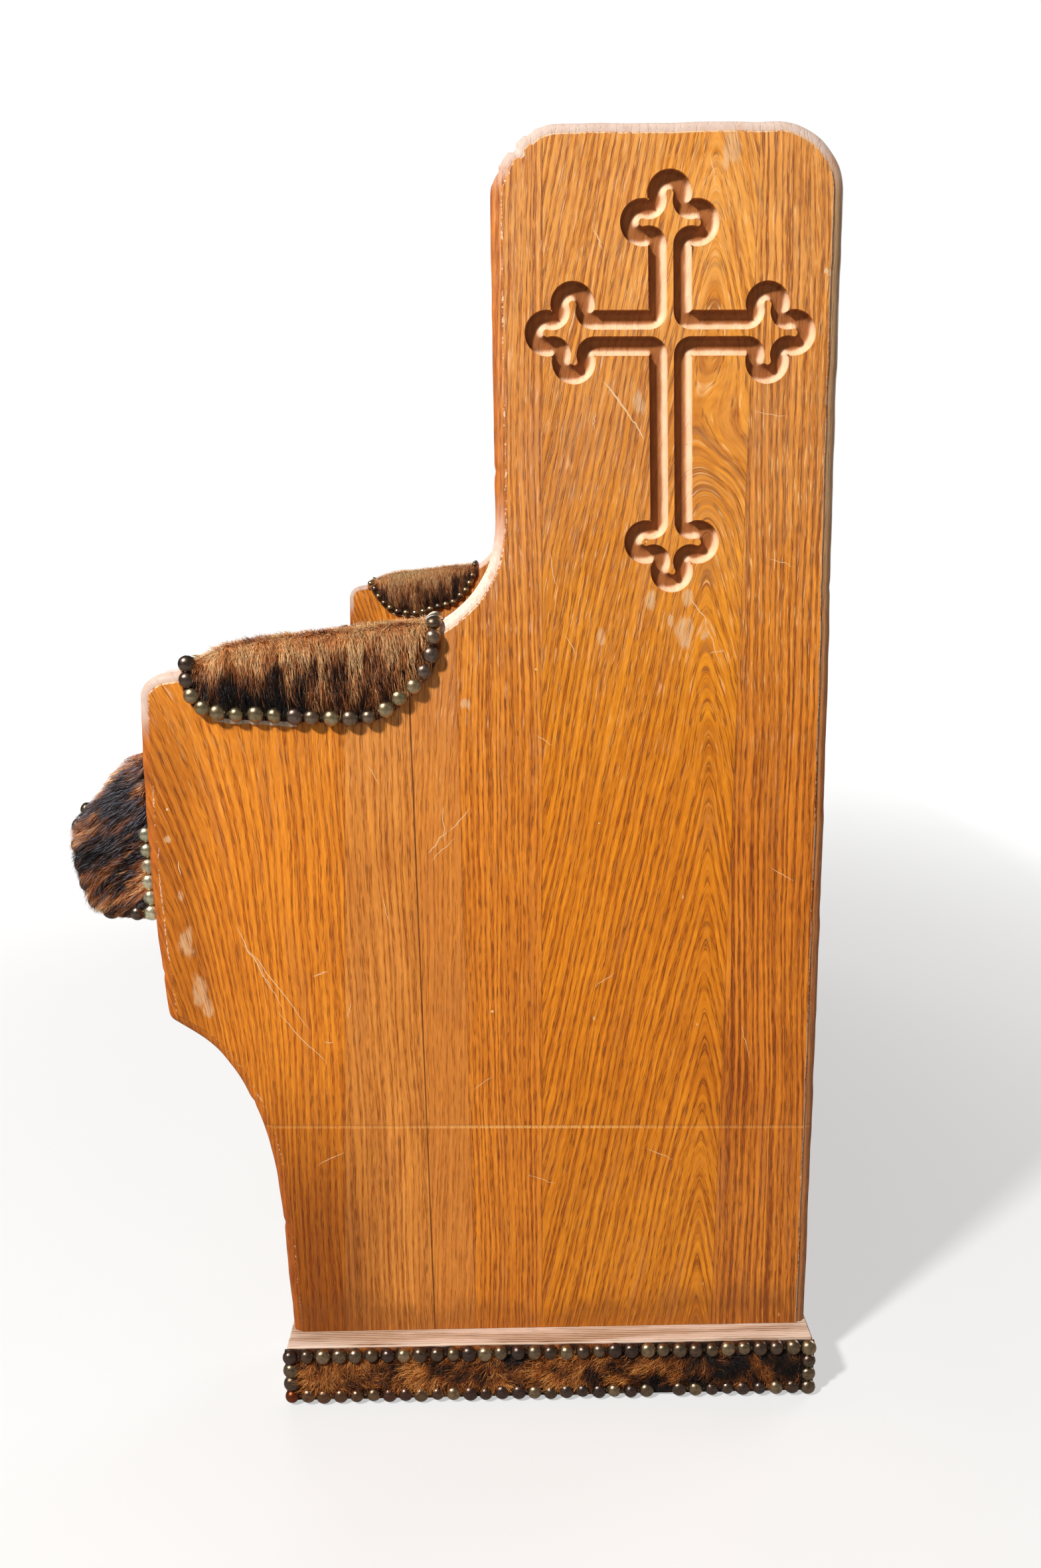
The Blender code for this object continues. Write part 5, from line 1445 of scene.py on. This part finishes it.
def seat_end(s, side):
    """The padded hide folded over the end of the seat's front, in front of the bench end."""
    y_rear = -0.2604
    nose = [p for p in smooth_through(NOSE, 6) if p[0] < y_rear]
    z_top = nose[-1][1] + 0.0035
    nose = [(y, z + 0.0025 * float(sstep(z, 0.470, 0.498))) for y, z in nose]
    outline = [(y_rear, 0.3757)] + nose + [(y_rear, z_top)]
    loop = resample(outline + [outline[0]], 0.0024)[:-1]
    area2 = np.sum(loop[:, 0] * np.roll(loop[:, 1], -1) - np.roll(loop[:, 0], -1) * loop[:, 1])
    sg = 1.0 if area2 < 0 else -1.0
    n = len(loop)
    cy, cz = -0.2900, 0.4330
    at_rear = np.clip((loop[:, 0] - (y_rear - 0.004)) / 0.004, 0, 1)
    rings, depth = [], []
    k = 9
    ker = np.ones(k) / k
    for d, x in ((0.0016, 0.5600), (0.0014, 0.5655), (0.0022, 0.5690), (0.0040, 0.5712), (0.0066, 0.5726), (0.0100, 0.5735)):
        r_ = offset_loop(loop, sg * d)
        if d > 0.003:
            pad = np.concatenate([r_[-k:], r_, r_[:k]])
            r_ = np.stack([np.convolve(pad[:, c], ker, "same") for c in (0, 1)], 1)[k:-k]
        # the rear edge runs straight down beside the bench end
        r_[:, 0] = np.minimum(r_[:, 0], y_rear)
        rings.append(r_)
        xs = np.full(n, x)
        xs = np.where(at_rear > 0, np.maximum(xs, 0.5712 + 0.0 * xs), xs) if x > 0.566 else xs
        depth.append(xs)
    last = rings[-1]
    for f, x in ((0.62, 0.5741), (0.30, 0.5744)):
        rings.append(np.array([cy, cz]) + (last - np.array([cy, cz])) * f)
        depth.append(np.full(n, x))
    verts = []
    for r_, xs in zip(rings, depth):
        for (y, z), x in zip(r_, xs):
            b = (fbm(np.array([[y * 60, z * 60, s * 2.0]]), 87, 2)[0] - 0.5) * 0.0010 if x > 0.570 else 0.0
            verts.append((x + b, y + YS, z))
    centre = len(verts)
    verts.append((0.5744, cy + YS, cz))
    back = len(verts)
    verts.append((0.5600, cy + YS, cz))
    faces = []
    nr = len(rings)
    for a in range(nr - 1):
        for i in range(n):
            j = (i + 1) % n
            faces.append((a * n + i, a * n + j, (a + 1) * n + j, (a + 1) * n + i))
    for i in range(n):
        j = (i + 1) % n
        faces.append(((nr - 1) * n + i, (nr - 1) * n + j, centre))
        faces.append((j, i, back))
    v = np.array(verts)
    v[:, 0] *= s
    ob = put("seat_end_pad_" + side, v, faces, SKIN, sharp=60)
    bm = bmesh.new()
    bm.from_mesh(ob.data)
    bmesh.ops.recalc_face_normals(bm, faces=bm.faces)
    bm.to_mesh(ob.data)
    bm.free()

    def tone(p):
        y, z = p[:, 1] - YS, p[:, 2]
        # streaks run down and forward with the hair
        u, w = y * 0.62 - z * 0.78, y * 0.78 + z * 0.62
        streak = fbm(np.stack([u * 210, w * 30, z * 0], 1), 171, 3)
        patch = fbm(np.stack([u * 50, w * 26, z * 0], 1), 173, 2)
        rim = sstep(0.424 - z, 0.0, 0.034) * sstep(-y, 0.292, 0.312) + sstep(0.392 - z, 0.0, 0.012)
        upper = sstep(z, 0.455, 0.485)
        return 0.17 + (streak - 0.5) * 2.3 + (patch - 0.5) * 0.9 + 0.42 * np.clip(rim, 0, 1) + 0.22 * upper

    co, tr = tris_of(ob.data)
    colour_points(ob, shades(tone(co) * 0.7, np.random.RandomState(8), 0.0) * 0.7)
    on_root(ob, "cowhide")
    a, b, c = co[tr[:, 0]], co[tr[:, 1]], co[tr[:, 2]]
    cr = np.cross(b - a, c - a)
    nx = cr[:, 0] / np.maximum(np.linalg.norm(cr, axis=1), 1e-12) * s
    cen = (a + b + c) / 3
    ok = (np.abs(cen[:, 0]) > 0.5665) & (nx > -0.2) & (cen[:, 1] - YS < y_rear - 0.0010)
    count = 9000 if s > 0 else 5200
    p, pn, _ = scatter(co, tr, count, 880 + (s > 0), ok.astype(float))
    rs = np.random.RandomState(890 + (s > 0))
    y, z = p[:, 1] - YS, p[:, 2]
    comb = np.zeros_like(p)
    turn = sstep(-y, 0.285, 0.322) * sstep(0.448 - z, 0.0, 0.040)
    comb[:, 1] = -0.86 + 0.30 * turn
    comb[:, 2] = -0.42 - 0.55 * turn
    wave = (fbm(np.stack([y * 40, z * 40, y * 0], 1), 175, 2) - 0.5) * 1.1
    comb[:, 1] += wave * 0.5
    comb[:, 2] -= wave * 0.5
    f = tone(p) + rs.normal(0, 0.13, count)
    stray = rs.uniform(0, 1, count) < 0.07
    f[stray] += 0.4
    # painted highlight: some hairs, more of them higher up, are coloured pale blue-grey to stand for the sheen on the
    # dark hair
    grey = rs.uniform(0, 1, count) < 0.10 + 0.22 * sstep(z, 0.42, 0.46)
    length = rs.uniform(0.65, 1.0, count) * 0.0150 * (0.55 + 0.45 * sstep(z, 0.378, 0.396)) * (0.5 + 0.5 * sstep(y_rear - y, 0.0, 0.006))
    col = shades(f, rs, 0.30, WARM)
    col[grey] = np.array(lin(150, 148, 160))
    hair_piece("seat_end_hair_" + side, p, pn, comb, length, rs.uniform(0.00026, 0.00044, count), col, col * 1.25, 895 + (s > 0), segs=3,
               lift0=26, lift1=3, clump=0.5, clump_size=0.005, curl=0.22)


for s_, side_ in ((1, "right"), (-1, "left")):
    seat_end(s_, side_)


# ------------------------------------------------------------------ bands of hide round the bases
def plinth_band(s, side):
    y0, y1, z0, z1 = -0.1788, 0.2293, 0.0032, 0.0460
    xw = X_OUT + PLINTH_OUT + GAP
    ny, nz = 190, 22
    ys, zs = np.linspace(y0, y1, ny), np.linspace(z0, z1, nz)
    yy, zz = np.meshgrid(ys, zs, indexing="ij")
    # the hide is pressed flat under the nails and swells between the rows
    dist = np.minimum.reduce([yy - y0, y1 - yy, zz - z0, z1 - zz])
    swell = sstep(dist, 0.006, 0.016)
    lump = vnoise(np.stack([yy.ravel() * 55, zz.ravel() * 70, yy.ravel() * 0 + s], 1), 91).reshape(yy.shape) - 0.5
    h = 0.0022 + 0.0016 * swell + lump * 0.0016 * swell
    # edges cut a little unevenly
    ey = (vnoise(np.stack([ys * 120, ys * 0, ys * 0 + s], 1), 93) - 0.5) * 0.0012
    zz2 = zz + np.where(zz < z0 + 1e-6, ey[:, None], 0) + np.where(zz > z1 - 1e-6, -ey[:, None] * 0.8, 0)
    front = np.stack([xw + h, yy + YS, zz2], 2).reshape(-1, 3)
    back = np.stack([np.full_like(yy, xw), yy + YS, zz2], 2).reshape(-1, 3)
    verts = np.concatenate([front, back])
    n = len(front)
    faces = []
    for i in range(ny - 1):
        for j in range(nz - 1):
            q = (i * nz + j, (i + 1) * nz + j, (i + 1) * nz + j + 1, i * nz + j + 1)
            faces += [q, tuple(n + k for k in reversed(q))]
    for i in range(ny - 1):
        a = (i * nz, n + i * nz, n + (i + 1) * nz, (i + 1) * nz)
        b = (i * nz + nz - 1, (i + 1) * nz + nz - 1, n + (i + 1) * nz + nz - 1, n + i * nz + nz - 1)
        faces += [a, b]
    for j in range(nz - 1):
        a = (j, j + 1, n + j + 1, n + j)
        k = (ny - 1) * nz
        b = (k + j, n + k + j, n + k + j + 1, k + j + 1)
        faces += [a, b]
    if s < 0:
        verts[:, 0] *= -1
        faces = [tuple(reversed(f)) for f in faces]
    ob = put("base_hide_" + side, verts, faces, SKIN, sharp=50)
    bm = bmesh.new()
    bm.from_mesh(ob.data)
    bmesh.ops.recalc_face_normals(bm, faces=bm.faces)
    bm.to_mesh(ob.data)
    bm.free()

    def tone(p):
        yl = p[:, 1] - YS
        patch = fbm(np.stack([yl * 64, p[:, 2] * 74, yl * 0], 1), 95 + (s > 0), 3)
        fine = fbm(np.stack([yl * 260, p[:, 2] * 220, yl * 0], 1), 97, 2)
        right = sstep(yl, 0.06, 0.14)
        return 0.47 + (patch - 0.5) * 1.6 + (fine - 0.5) * 1.0 - right * 0.32

    colour_points(ob, shades(tone(verts) * 0.8, np.random.RandomState(7), 0.0, RUSSET) * 0.8)
    on_root(ob, "cowhide", "plinth_hide_" + side)
    count = 8200 if s > 0 else 5600
    rs = np.random.RandomState(900 + (s > 0))
    p = np.zeros((count, 3))
    p[:, 1] = rs.uniform(y0 + 0.0085, y1 - 0.0085, count) + YS
    p[:, 2] = rs.uniform(z0 + 0.0075, z1 - 0.0065, count)
    p[:, 0] = s * (xw + 0.0026)
    nn = np.zeros_like(p)
    nn[:, 0] = s
    ang = fbm(np.stack([p[:, 1] * 24, p[:, 2] * 24, p[:, 0] * 0], 1), 99, 2) * TAU * 1.7 + rs.normal(0, 0.45, count) - 1.4
    comb = np.stack([np.zeros(count), np.cos(ang), np.sin(ang)], 1)
    comb[:, 2] -= 0.35
    f = tone(p) + rs.normal(0, 0.10, count)
    stray = rs.uniform(0, 1, count) < 0.08
    f[stray] += 0.3
    room = np.minimum.reduce([p[:, 1] - YS - y0, y1 - p[:, 1] + YS, p[:, 2] - z0, z1 - p[:, 2]])
    ln = np.minimum(rs.uniform(0.007, 0.0125, count), room * 0.85 + 0.002)
    hair_piece("base_hair_" + side, p, nn, comb, ln, rs.uniform(0.00026, 0.00044, count), shades(f, rs, 0.25, RUSSET), shades(f + 0.18, rs, 0.25, RUSSET), 920 + (s > 0),
               segs=4, lift0=42, lift1=0, clump=0.4, curl=0.9)
    return ob


for s_, side_ in ((1, "right"), (-1, "left")):
    plinth_band(s_, side_)


# ------------------------------------------------------------------ nailhead trim
def dome(segs=20):
    """Unit nail head: radius 1, height 1, with a small turned-down rim; closed."""
    prof = [(0.90, -0.06), (1.0, 0.0), (1.0, 0.12)] + [(math.cos(a) ** 0.92, 0.12 + 0.88 * math.sin(a) ** 1.05) for a in np.radians([14, 28, 42, 56, 70, 82])]
    verts, faces = [], []
    for r_, z_ in prof:
        for k in range(segs):
            a = TAU * k / segs
            verts.append((r_ * math.cos(a), r_ * math.sin(a), z_))
    verts.append((0, 0, 1.0))
    for i in range(len(prof) - 1):
        for k in range(segs):
            k2 = (k + 1) % segs
            faces.append((i * segs + k, i * segs + k2, (i + 1) * segs + k2, (i + 1) * segs + k))
    last = (len(prof) - 1) * segs
    for k in range(segs):
        faces.append((last + k, last + (k + 1) % segs, len(verts) - 1))
    faces.append(tuple(reversed(range(segs))))
    return np.array(verts), faces


DOME_V, DOME_F = dome()
BRONZE_C = [np.array(lin(*c)) for c in ((158, 138, 108), (134, 114, 94), (168, 148, 114), (122, 104, 92))]
BRASS_C = np.array(lin(198, 176, 134))
PALE_C = np.array(lin(206, 200, 168))
RUST_C = np.array(lin(150, 80, 44))


def nails(name, heads, node, seed, radius=0.0061, height=0.0052, links=True):
    """heads: (point, outward normal, tone, along) of each nail, in the row frame; one closed mesh a nail, and the strip between."""
    rs = np.random.RandomState(seed)
    V_, F_, C_ = [], [], []
    count = 0
    for p, nrm, tone, _ in heads:
        nrm = Vector(nrm).normalized()
        tilt = Vector(rs.normal(0, 0.05, 3))
        nrm2 = (nrm + tilt).normalized()
        q = nrm2.to_track_quat("Z", "Y").to_matrix()
        sc = radius * rs.uniform(0.88, 1.04)
        hh = height * rs.uniform(0.92, 1.04)
        v = DOME_V * np.array([sc, sc, hh])
        v = v @ np.array(q).T + np.array(p)
        V_.append(v)
        F_ += [tuple(i + count for i in f) for f in DOME_F]
        C_.append(np.tile(tone * rs.uniform(0.86, 1.14), (len(v), 1)))
        count += len(v)
    if links:
        for (p, nrm, tone, _), (p2, nrm2, tone2, joined) in zip(heads[:-1], heads[1:]):
            if not joined:
                continue
            a, b = Vector(p), Vector(p2)
            if (b - a).length > 0.019:
                continue
            up = (Vector(nrm) + Vector(nrm2)).normalized()
            d = (b - a).normalized()
            sd = up.cross(d).normalized()
            w, t0, t1 = 0.0013, -0.0002, 0.0010
            ring = []
            for q_, k in ((a, 0), (b, 1)):
                for su, st in ((-w, t0), (w, t0), (w * 0.7, t1), (-w * 0.7, t1)):
                    ring.append(tuple(q_ + sd * su + up * st))
            V_.append(np.array(ring))
            F_ += [tuple(count + i for i in f) for f in ((0, 1, 2, 3), (7, 6, 5, 4), (0, 4, 5, 1), (1, 5, 6, 2), (2, 6, 7, 3), (3, 7, 4, 0))]
            C_.append(np.tile(tone * 0.8, (8, 1)))
            count += 8
    ob = put(name, np.concatenate(V_), F_, NAIL, sharp=40)
    bm = bmesh.new()
    bm.from_mesh(ob.data)
    bmesh.ops.recalc_face_normals(bm, faces=bm.faces)
    bm.to_mesh(ob.data)
    bm.free()
    colour_points(ob, np.concatenate(C_))
    return on_root(ob, "nailhead", *(node if isinstance(node, (list, tuple)) else [node]))


def tone_of(i, rs, brass_every=5, first=2):
    if (i - first) % brass_every == 0:
        return BRASS_C
    return BRONZE_C[rs.randint(len(BRONZE_C))]


NEAR_ARM = [(-221.0, 573.5), (-221.5, 562.5), (-219, 551.5), (-212, 543), (-202, 539.5), (-189, 538), (-175.5, 538), (-162.6, 537), (-148.5, 536), (-136.7, 535),
            (-123, 534.5), (-110, 534), (-97, 535), (-85, 540), (-75.5, 548), (-65, 556), (-57.5, 566), (-52.3, 577.5), (-50.8, 589.8)]
FAR_ARM = [(-215, 562.5), (-209, 550), (-200.5, 539), (-191, 530.5), (-179, 524.5), (-165, 522), (-150, 521.6), (-137, 524),
           (-125, 528), (-112, 532), (-99, 535), (-87, 539), (-75, 549), (-66, 558), (-59.5, 569.5), (-54, 581.5)]
for s_, side_ in ((1, "right"), (-1, "left")):
    rs = np.random.RandomState(70 + s_)
    for tag, pts, x, out in (("outer", NEAR_ARM, X_OUT, 1), ("inner", FAR_ARM, X_IN, -1)):
        heads = []
        for i, (y, z) in enumerate(pts):
            frac = i / (len(pts) - 1)
            tn = BRONZE_C[rs.randint(4)] * (0.85 + 0.5 * frac)
            if i in (3, 5, 7, 10, 14) or rs.uniform() < 0.15:
                tn = BRASS_C * (0.62 + 0.3 * frac)
            heads.append(((s_ * (x + out * 0.0030), y / 1000 + YS, z / 1000), (s_ * out, 0, 0), tn, True))
        nails("arm_nails_%s_%s" % (side_, tag), heads, "arm_nail_trim_%s_%s" % (side_, tag), 600 + s_ * 7 + out, radius=0.0062, height=0.0054)
    for tag, y in (("front", -0.2217), ("rear", -0.0503)):
        heads = []
        top = arm_top(y)
        lean = math.radians(8.3)
        for k, xx in enumerate((X_OUT - 0.0015, X_OUT - 0.0130, X_OUT - 0.0250, X_OUT - 0.0365)):
            side_tilt = 0.55 if k == 0 else (-0.55 if k == 3 else 0.0)
            heads.append(((s_ * xx, y + YS, top + 0.0031 - (0.0012 if side_tilt else 0)), (s_ * side_tilt, -math.sin(lean), math.cos(lean)),
                          tone_of(k, rs, 5, 1) * 1.0, True))
        nails("arm_nails_%s_%s" % (side_, tag), heads, "arm_nail_trim_%s_%s" % (side_, tag), 640 + s_ + k, radius=0.0059)

    # ring round the base's band
    xw = s_ * (X_OUT + PLINTH_OUT + GAP + 0.0024)
    y0, y1, z0, z1 = -0.1743, 0.2248, 0.0073, 0.0415
    heads = []
    nrow = 33
    i = 0
    for k in range(nrow):
        y = y0 + (y1 - y0) * k / (nrow - 1)
        heads.append(((xw, y + YS + rs.normal(0, 0.0003), z1 + rs.normal(0, 0.00035)), (s_, 0, 0), BRASS_C if k % 5 == 2 else BRONZE_C[rs.randint(4)], k > 0))
    for k in (1, 2):
        heads.append(((xw, y1 + YS, z1 - (z1 - z0) * k / 3), (s_, 0, 0), BRONZE_C[k] if k == 1 else BRASS_C * 0.8, True))
    for k in range(nrow):
        y = y1 - (y1 - y0) * k / (nrow - 1)
        if s_ > 0 and abs(y - 0.1106) < 0.0064:
            continue
        tn = BRASS_C if k % 5 == 2 else BRONZE_C[rs.randint(4)]
        if y < 0.02:
            tn = tn * (1 - 0.55 * (0.02 - y) / 0.2) + RUST_C * 0.55 * (0.02 - y) / 0.2
        if k == nrow - 1:
            tn = RUST_C * 1.2
        heads.append(((xw, y + YS + rs.normal(0, 0.0003), z0 + rs.normal(0, 0.00035)), (s_, 0, 0), tn, True))
    for k in (1, 2):
        heads.append(((xw, y0 + YS, z0 + (z1 - z0) * k / 3), (s_, 0, 0), BRONZE_C[k] * 0.9, True))
    heads = [(p_, n_, np.asarray(t_) * np.array([0.66, 0.62, 0.66]), j_) for p_, n_, t_, j_ in heads]
    nails("base_nails_" + side_, heads, "plinth_nail_trim_" + side_, 660 + s_)

    # nose of the seat
    xe = s_ * 0.5742
    heads = [((xe, -0.2702 + YS, z), (s_, 0, 0), PALE_C * (0.92 + 0.1 * k), k > 0) for k, z in enumerate((0.4430, 0.4308, 0.4186, 0.4064, 0.3942, 0.3822))]
    heads.append(((xe, -0.2812 + YS, 0.3820), (s_, 0, 0), BRONZE_C[3] * 0.8, True))
    nails("nose_nails_end_" + side_, heads, "nose_nail_trim_end_" + side_, 680 + s_, radius=0.0063, height=0.0048, links=False)
    line = np.array([p for p in smooth_through(NOSE, 6) if p[0] < -0.2990 and p[1] < 0.4660])
    d = np.concatenate([[0], np.cumsum(np.hypot(*(line[1:] - line[:-1]).T))])
    heads = []
    cnt = int(d[-1] / 0.0126)
    for k in range(cnt):
        t = d[-1] - 0.004 - k * (d[-1] - 0.008) / (cnt - 1)
        y, z = np.interp(t, d, line[:, 0]), np.interp(t, d, line[:, 1])
        ya, za = np.interp(t + 0.002, d, line[:, 0]), np.interp(t + 0.002, d, line[:, 1])
        ty, tz = ya - y, za - z
        ln_ = math.hypot(ty, tz)
        ny_, nz_ = -tz / ln_, ty / ln_
        if ny_ > 0:
            ny_, nz_ = -ny_, -nz_
        heads.append(((s_ * 0.5650, y + YS + ny_ * 0.0004, z + nz_ * 0.0004), (s_ * 0.25, ny_, nz_), BRONZE_C[rs.randint(4)] * 0.62, k > 0))
    nails("nose_nails_front_" + side_, heads, "nose_nail_trim_front_" + side_, 690 + s_, radius=0.0056, height=0.0040, links=False)


# narrow raw edge of the hide that shows below the arm's nails
def raw_edge(name, line, x, out, w=0.0022):
    p = resample(line, 0.0022)
    q0, q1 = offset_path(p, -0.0016), offset_path(p, w - 0.0006)
    jit = (vnoise(np.stack([np.arange(len(p)) * 0.6, p[:, 0] * 0, p[:, 0] * 0], 1), 33) - 0.5) * 0.0013
    t = np.zeros_like(p)
    t[1:-1] = p[2:] - p[:-2]
    t[0], t[-1] = p[1] - p[0], p[-1] - p[-2]
    t /= np.hypot(t[:, 0], t[:, 1])[:, None]
    q1 = q1 + np.stack([t[:, 1], -t[:, 0]], 1) * jit[:, None]
    n = len(p)
    verts, faces = [], []
    for pts, xx in ((q0, x + out * 0.0003), (q1, x + out * 0.0003), (q1, x + out * 0.0016), (q0, x + out * 0.0024)):
        verts += [(xx, a + YS, b) for a, b in pts]
    for i in range(n - 1):
        for a in range(4):
            b = (a + 1) % 4
            faces.append((a * n + i, a * n + i + 1, b * n + i + 1, b * n + i))
    faces += [(0, n, 2 * n, 3 * n), (n - 1, 4 * n - 1, 3 * n - 1, 2 * n - 1)]
    ob = put(name, verts, faces, RAW, sharp=40)
    bm = bmesh.new()
    bm.from_mesh(ob.data)
    bmesh.ops.recalc_face_normals(bm, faces=bm.faces)
    bm.to_mesh(ob.data)
    bm.free()
    return on_root(ob, "cowhide")


for s_, side_ in ((1, "right"), (-1, "left")):
    raw_edge("arm_hide_edge_%s_outer" % side_, [p for p in smooth_through(FLAP_OUTER, 5) if -0.207 < p[0] < -0.142], s_ * X_OUT, s_)
    raw_edge("arm_hide_edge_%s_inner" % side_, [p for p in smooth_through(FLAP_INNER, 5) if -0.196 < p[0] < -0.150], s_ * X_IN, -s_)


# ------------------------------------------------------------------ carried-over frame pieces
def dress(prefixes, mat):
    for nm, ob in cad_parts.items():
        if any(nm.startswith(p) for p in prefixes):
            for sl in ob.material_slots:
                sl.material = mat
            if not ob.material_slots:
                ob.data.materials.append(mat)


dress(["back_board", "back_top_rail", "back_bottom_rail"], OAK_BACK)
dress(["plinth_left", "plinth_right"], OAK_BASE)
dress(["seat_front_rail", "seat_rear_rail", "glue_block"], PINE)
dress(["seat_middle_brace", "seat_cleat", "back_cleat"], PINE_Y)
dress(["seat_board"], PLY)
dress(["dowel_"], BEECH)
dress(["back_screw", "seat_screw"], STEEL)


# ------------------------------------------------------------------ floor, light, camera
def pale_floor():
    """White studio sweep: the floor brightens away from the bench so it runs into the backdrop."""
    n = Net("pale_floor")
    x, y, z = n.xyz()
    f = n.noise(n.vec(x * 6.0, y * 6.0, z), 3.0, 0.5)
    away = n.vm("LENGTH", n.vec(x * 0.8, y - 0.05, 0.0), out="Value")
    n.set(color=n.mix(f, (0.33, 0.328, 0.325), (0.35, 0.348, 0.345)), rough=n.rng(f, 0.2, 0.8, 0.75, 0.85), spec=0.2)
    # the white of the sweep is there for the eye only; what the bench gets back from the floor stays low
    seen_ = V(n, n.node("LightPath").outputs["Is Camera Ray"])
    n.give(n.b.inputs["Emission Color"], (1.0, 0.998, 0.994))
    n.give(n.b.inputs["Emission Strength"], n.rng(away, 0.30, 2.6, 0.50, 0.96) * seen_)
    return n.mat


me = bpy.data.meshes.new("floor")
bm = bmesh.new()
bmesh.ops.create_grid(bm, x_segments=2, y_segments=2, size=9.0)
bm.to_mesh(me)
bm.free()
floor = bpy.data.objects.new("floor", me)
me.materials.append(pale_floor())
SCENE.collection.objects.link(floor)


def area_light(name, at, to, size, power, colour=(1, 1, 1)):
    li = bpy.data.lights.new(name, "AREA")
    li.shape = "DISK"
    li.size = size
    li.energy = power
    li.color = colour
    ob = bpy.data.objects.new(name, li)
    ob.location = at
    ob.rotation_euler = (Vector(to) - Vector(at)).to_track_quat("-Z", "Y").to_euler()
    SCENE.collection.objects.link(ob)
    return ob


TO_KEY = Vector((0.53, -0.53, 0.66)).normalized()
TARGET = Vector((0.61, 0.05, 0.50))
area_light("key", TARGET + TO_KEY * 4.2, TARGET, 0.40, 256.0, (1.0, 0.98, 0.95))
area_light("fill", (2.6, 2.2, 1.4), TARGET, 2.4, 2.0, (0.96, 0.98, 1.0))
# the sides away from the key: back, left end
area_light("fill_back", (-1.5, 2.9, 1.5), (-0.1, 0.1, 0.45), 2.2, 46.0, (0.99, 0.99, 1.0))
area_light("fill_left", (-3.3, -1.1, 1.5), (-0.6, 0.0, 0.45), 2.2, 62.0, (0.99, 0.99, 1.0))

world = bpy.data.worlds.new("studio")
SCENE.world = world
world.use_nodes = True
nt = world.node_tree
bg = nt.nodes["Background"]
bg.inputs[0].default_value = (0.97, 0.975, 1.0, 1.0)
bg.inputs[1].default_value = 0.14
seen = nt.nodes.new("ShaderNodeBackground")
seen.inputs[0].default_value = (1.0, 1.0, 1.0, 1.0)
seen.inputs[1].default_value = 1.0
lp = nt.nodes.new("ShaderNodeLightPath")
mx = nt.nodes.new("ShaderNodeMixShader")
nt.links.new(lp.outputs["Is Camera Ray"], mx.inputs[0])
nt.links.new(bg.outputs[0], mx.inputs[1])
nt.links.new(seen.outputs[0], mx.inputs[2])
nt.links.new(mx.outputs[0], nt.nodes["World Output"].inputs["Surface"])

pitch, yaw, roll = math.radians(12.14), math.radians(0.56), math.radians(-0.74)
f_ = Vector((-math.cos(pitch) * math.cos(yaw), math.cos(pitch) * math.sin(yaw), -math.sin(pitch)))
r0 = f_.cross(Vector((0, 0, 1))).normalized()
u0 = r0.cross(f_)
r_ = math.cos(roll) * r0 + math.sin(roll) * u0
u_ = -math.sin(roll) * r0 + math.cos(roll) * u0
cam = bpy.data.cameras.new("camera")
cam.lens, cam.sensor_width, cam.sensor_fit = 27.98, 36.0, "AUTO"
cam.clip_start, cam.clip_end = 0.01, 60.0
camera = bpy.data.objects.new("camera", cam)
camera.matrix_world = Matrix(((r_.x, u_.x, -f_.x, 1.4553), (r_.y, u_.y, -f_.y, 0.0500), (r_.z, u_.z, -f_.z, 0.6664), (0, 0, 0, 1)))
SCENE.collection.objects.link(camera)
SCENE.camera = camera
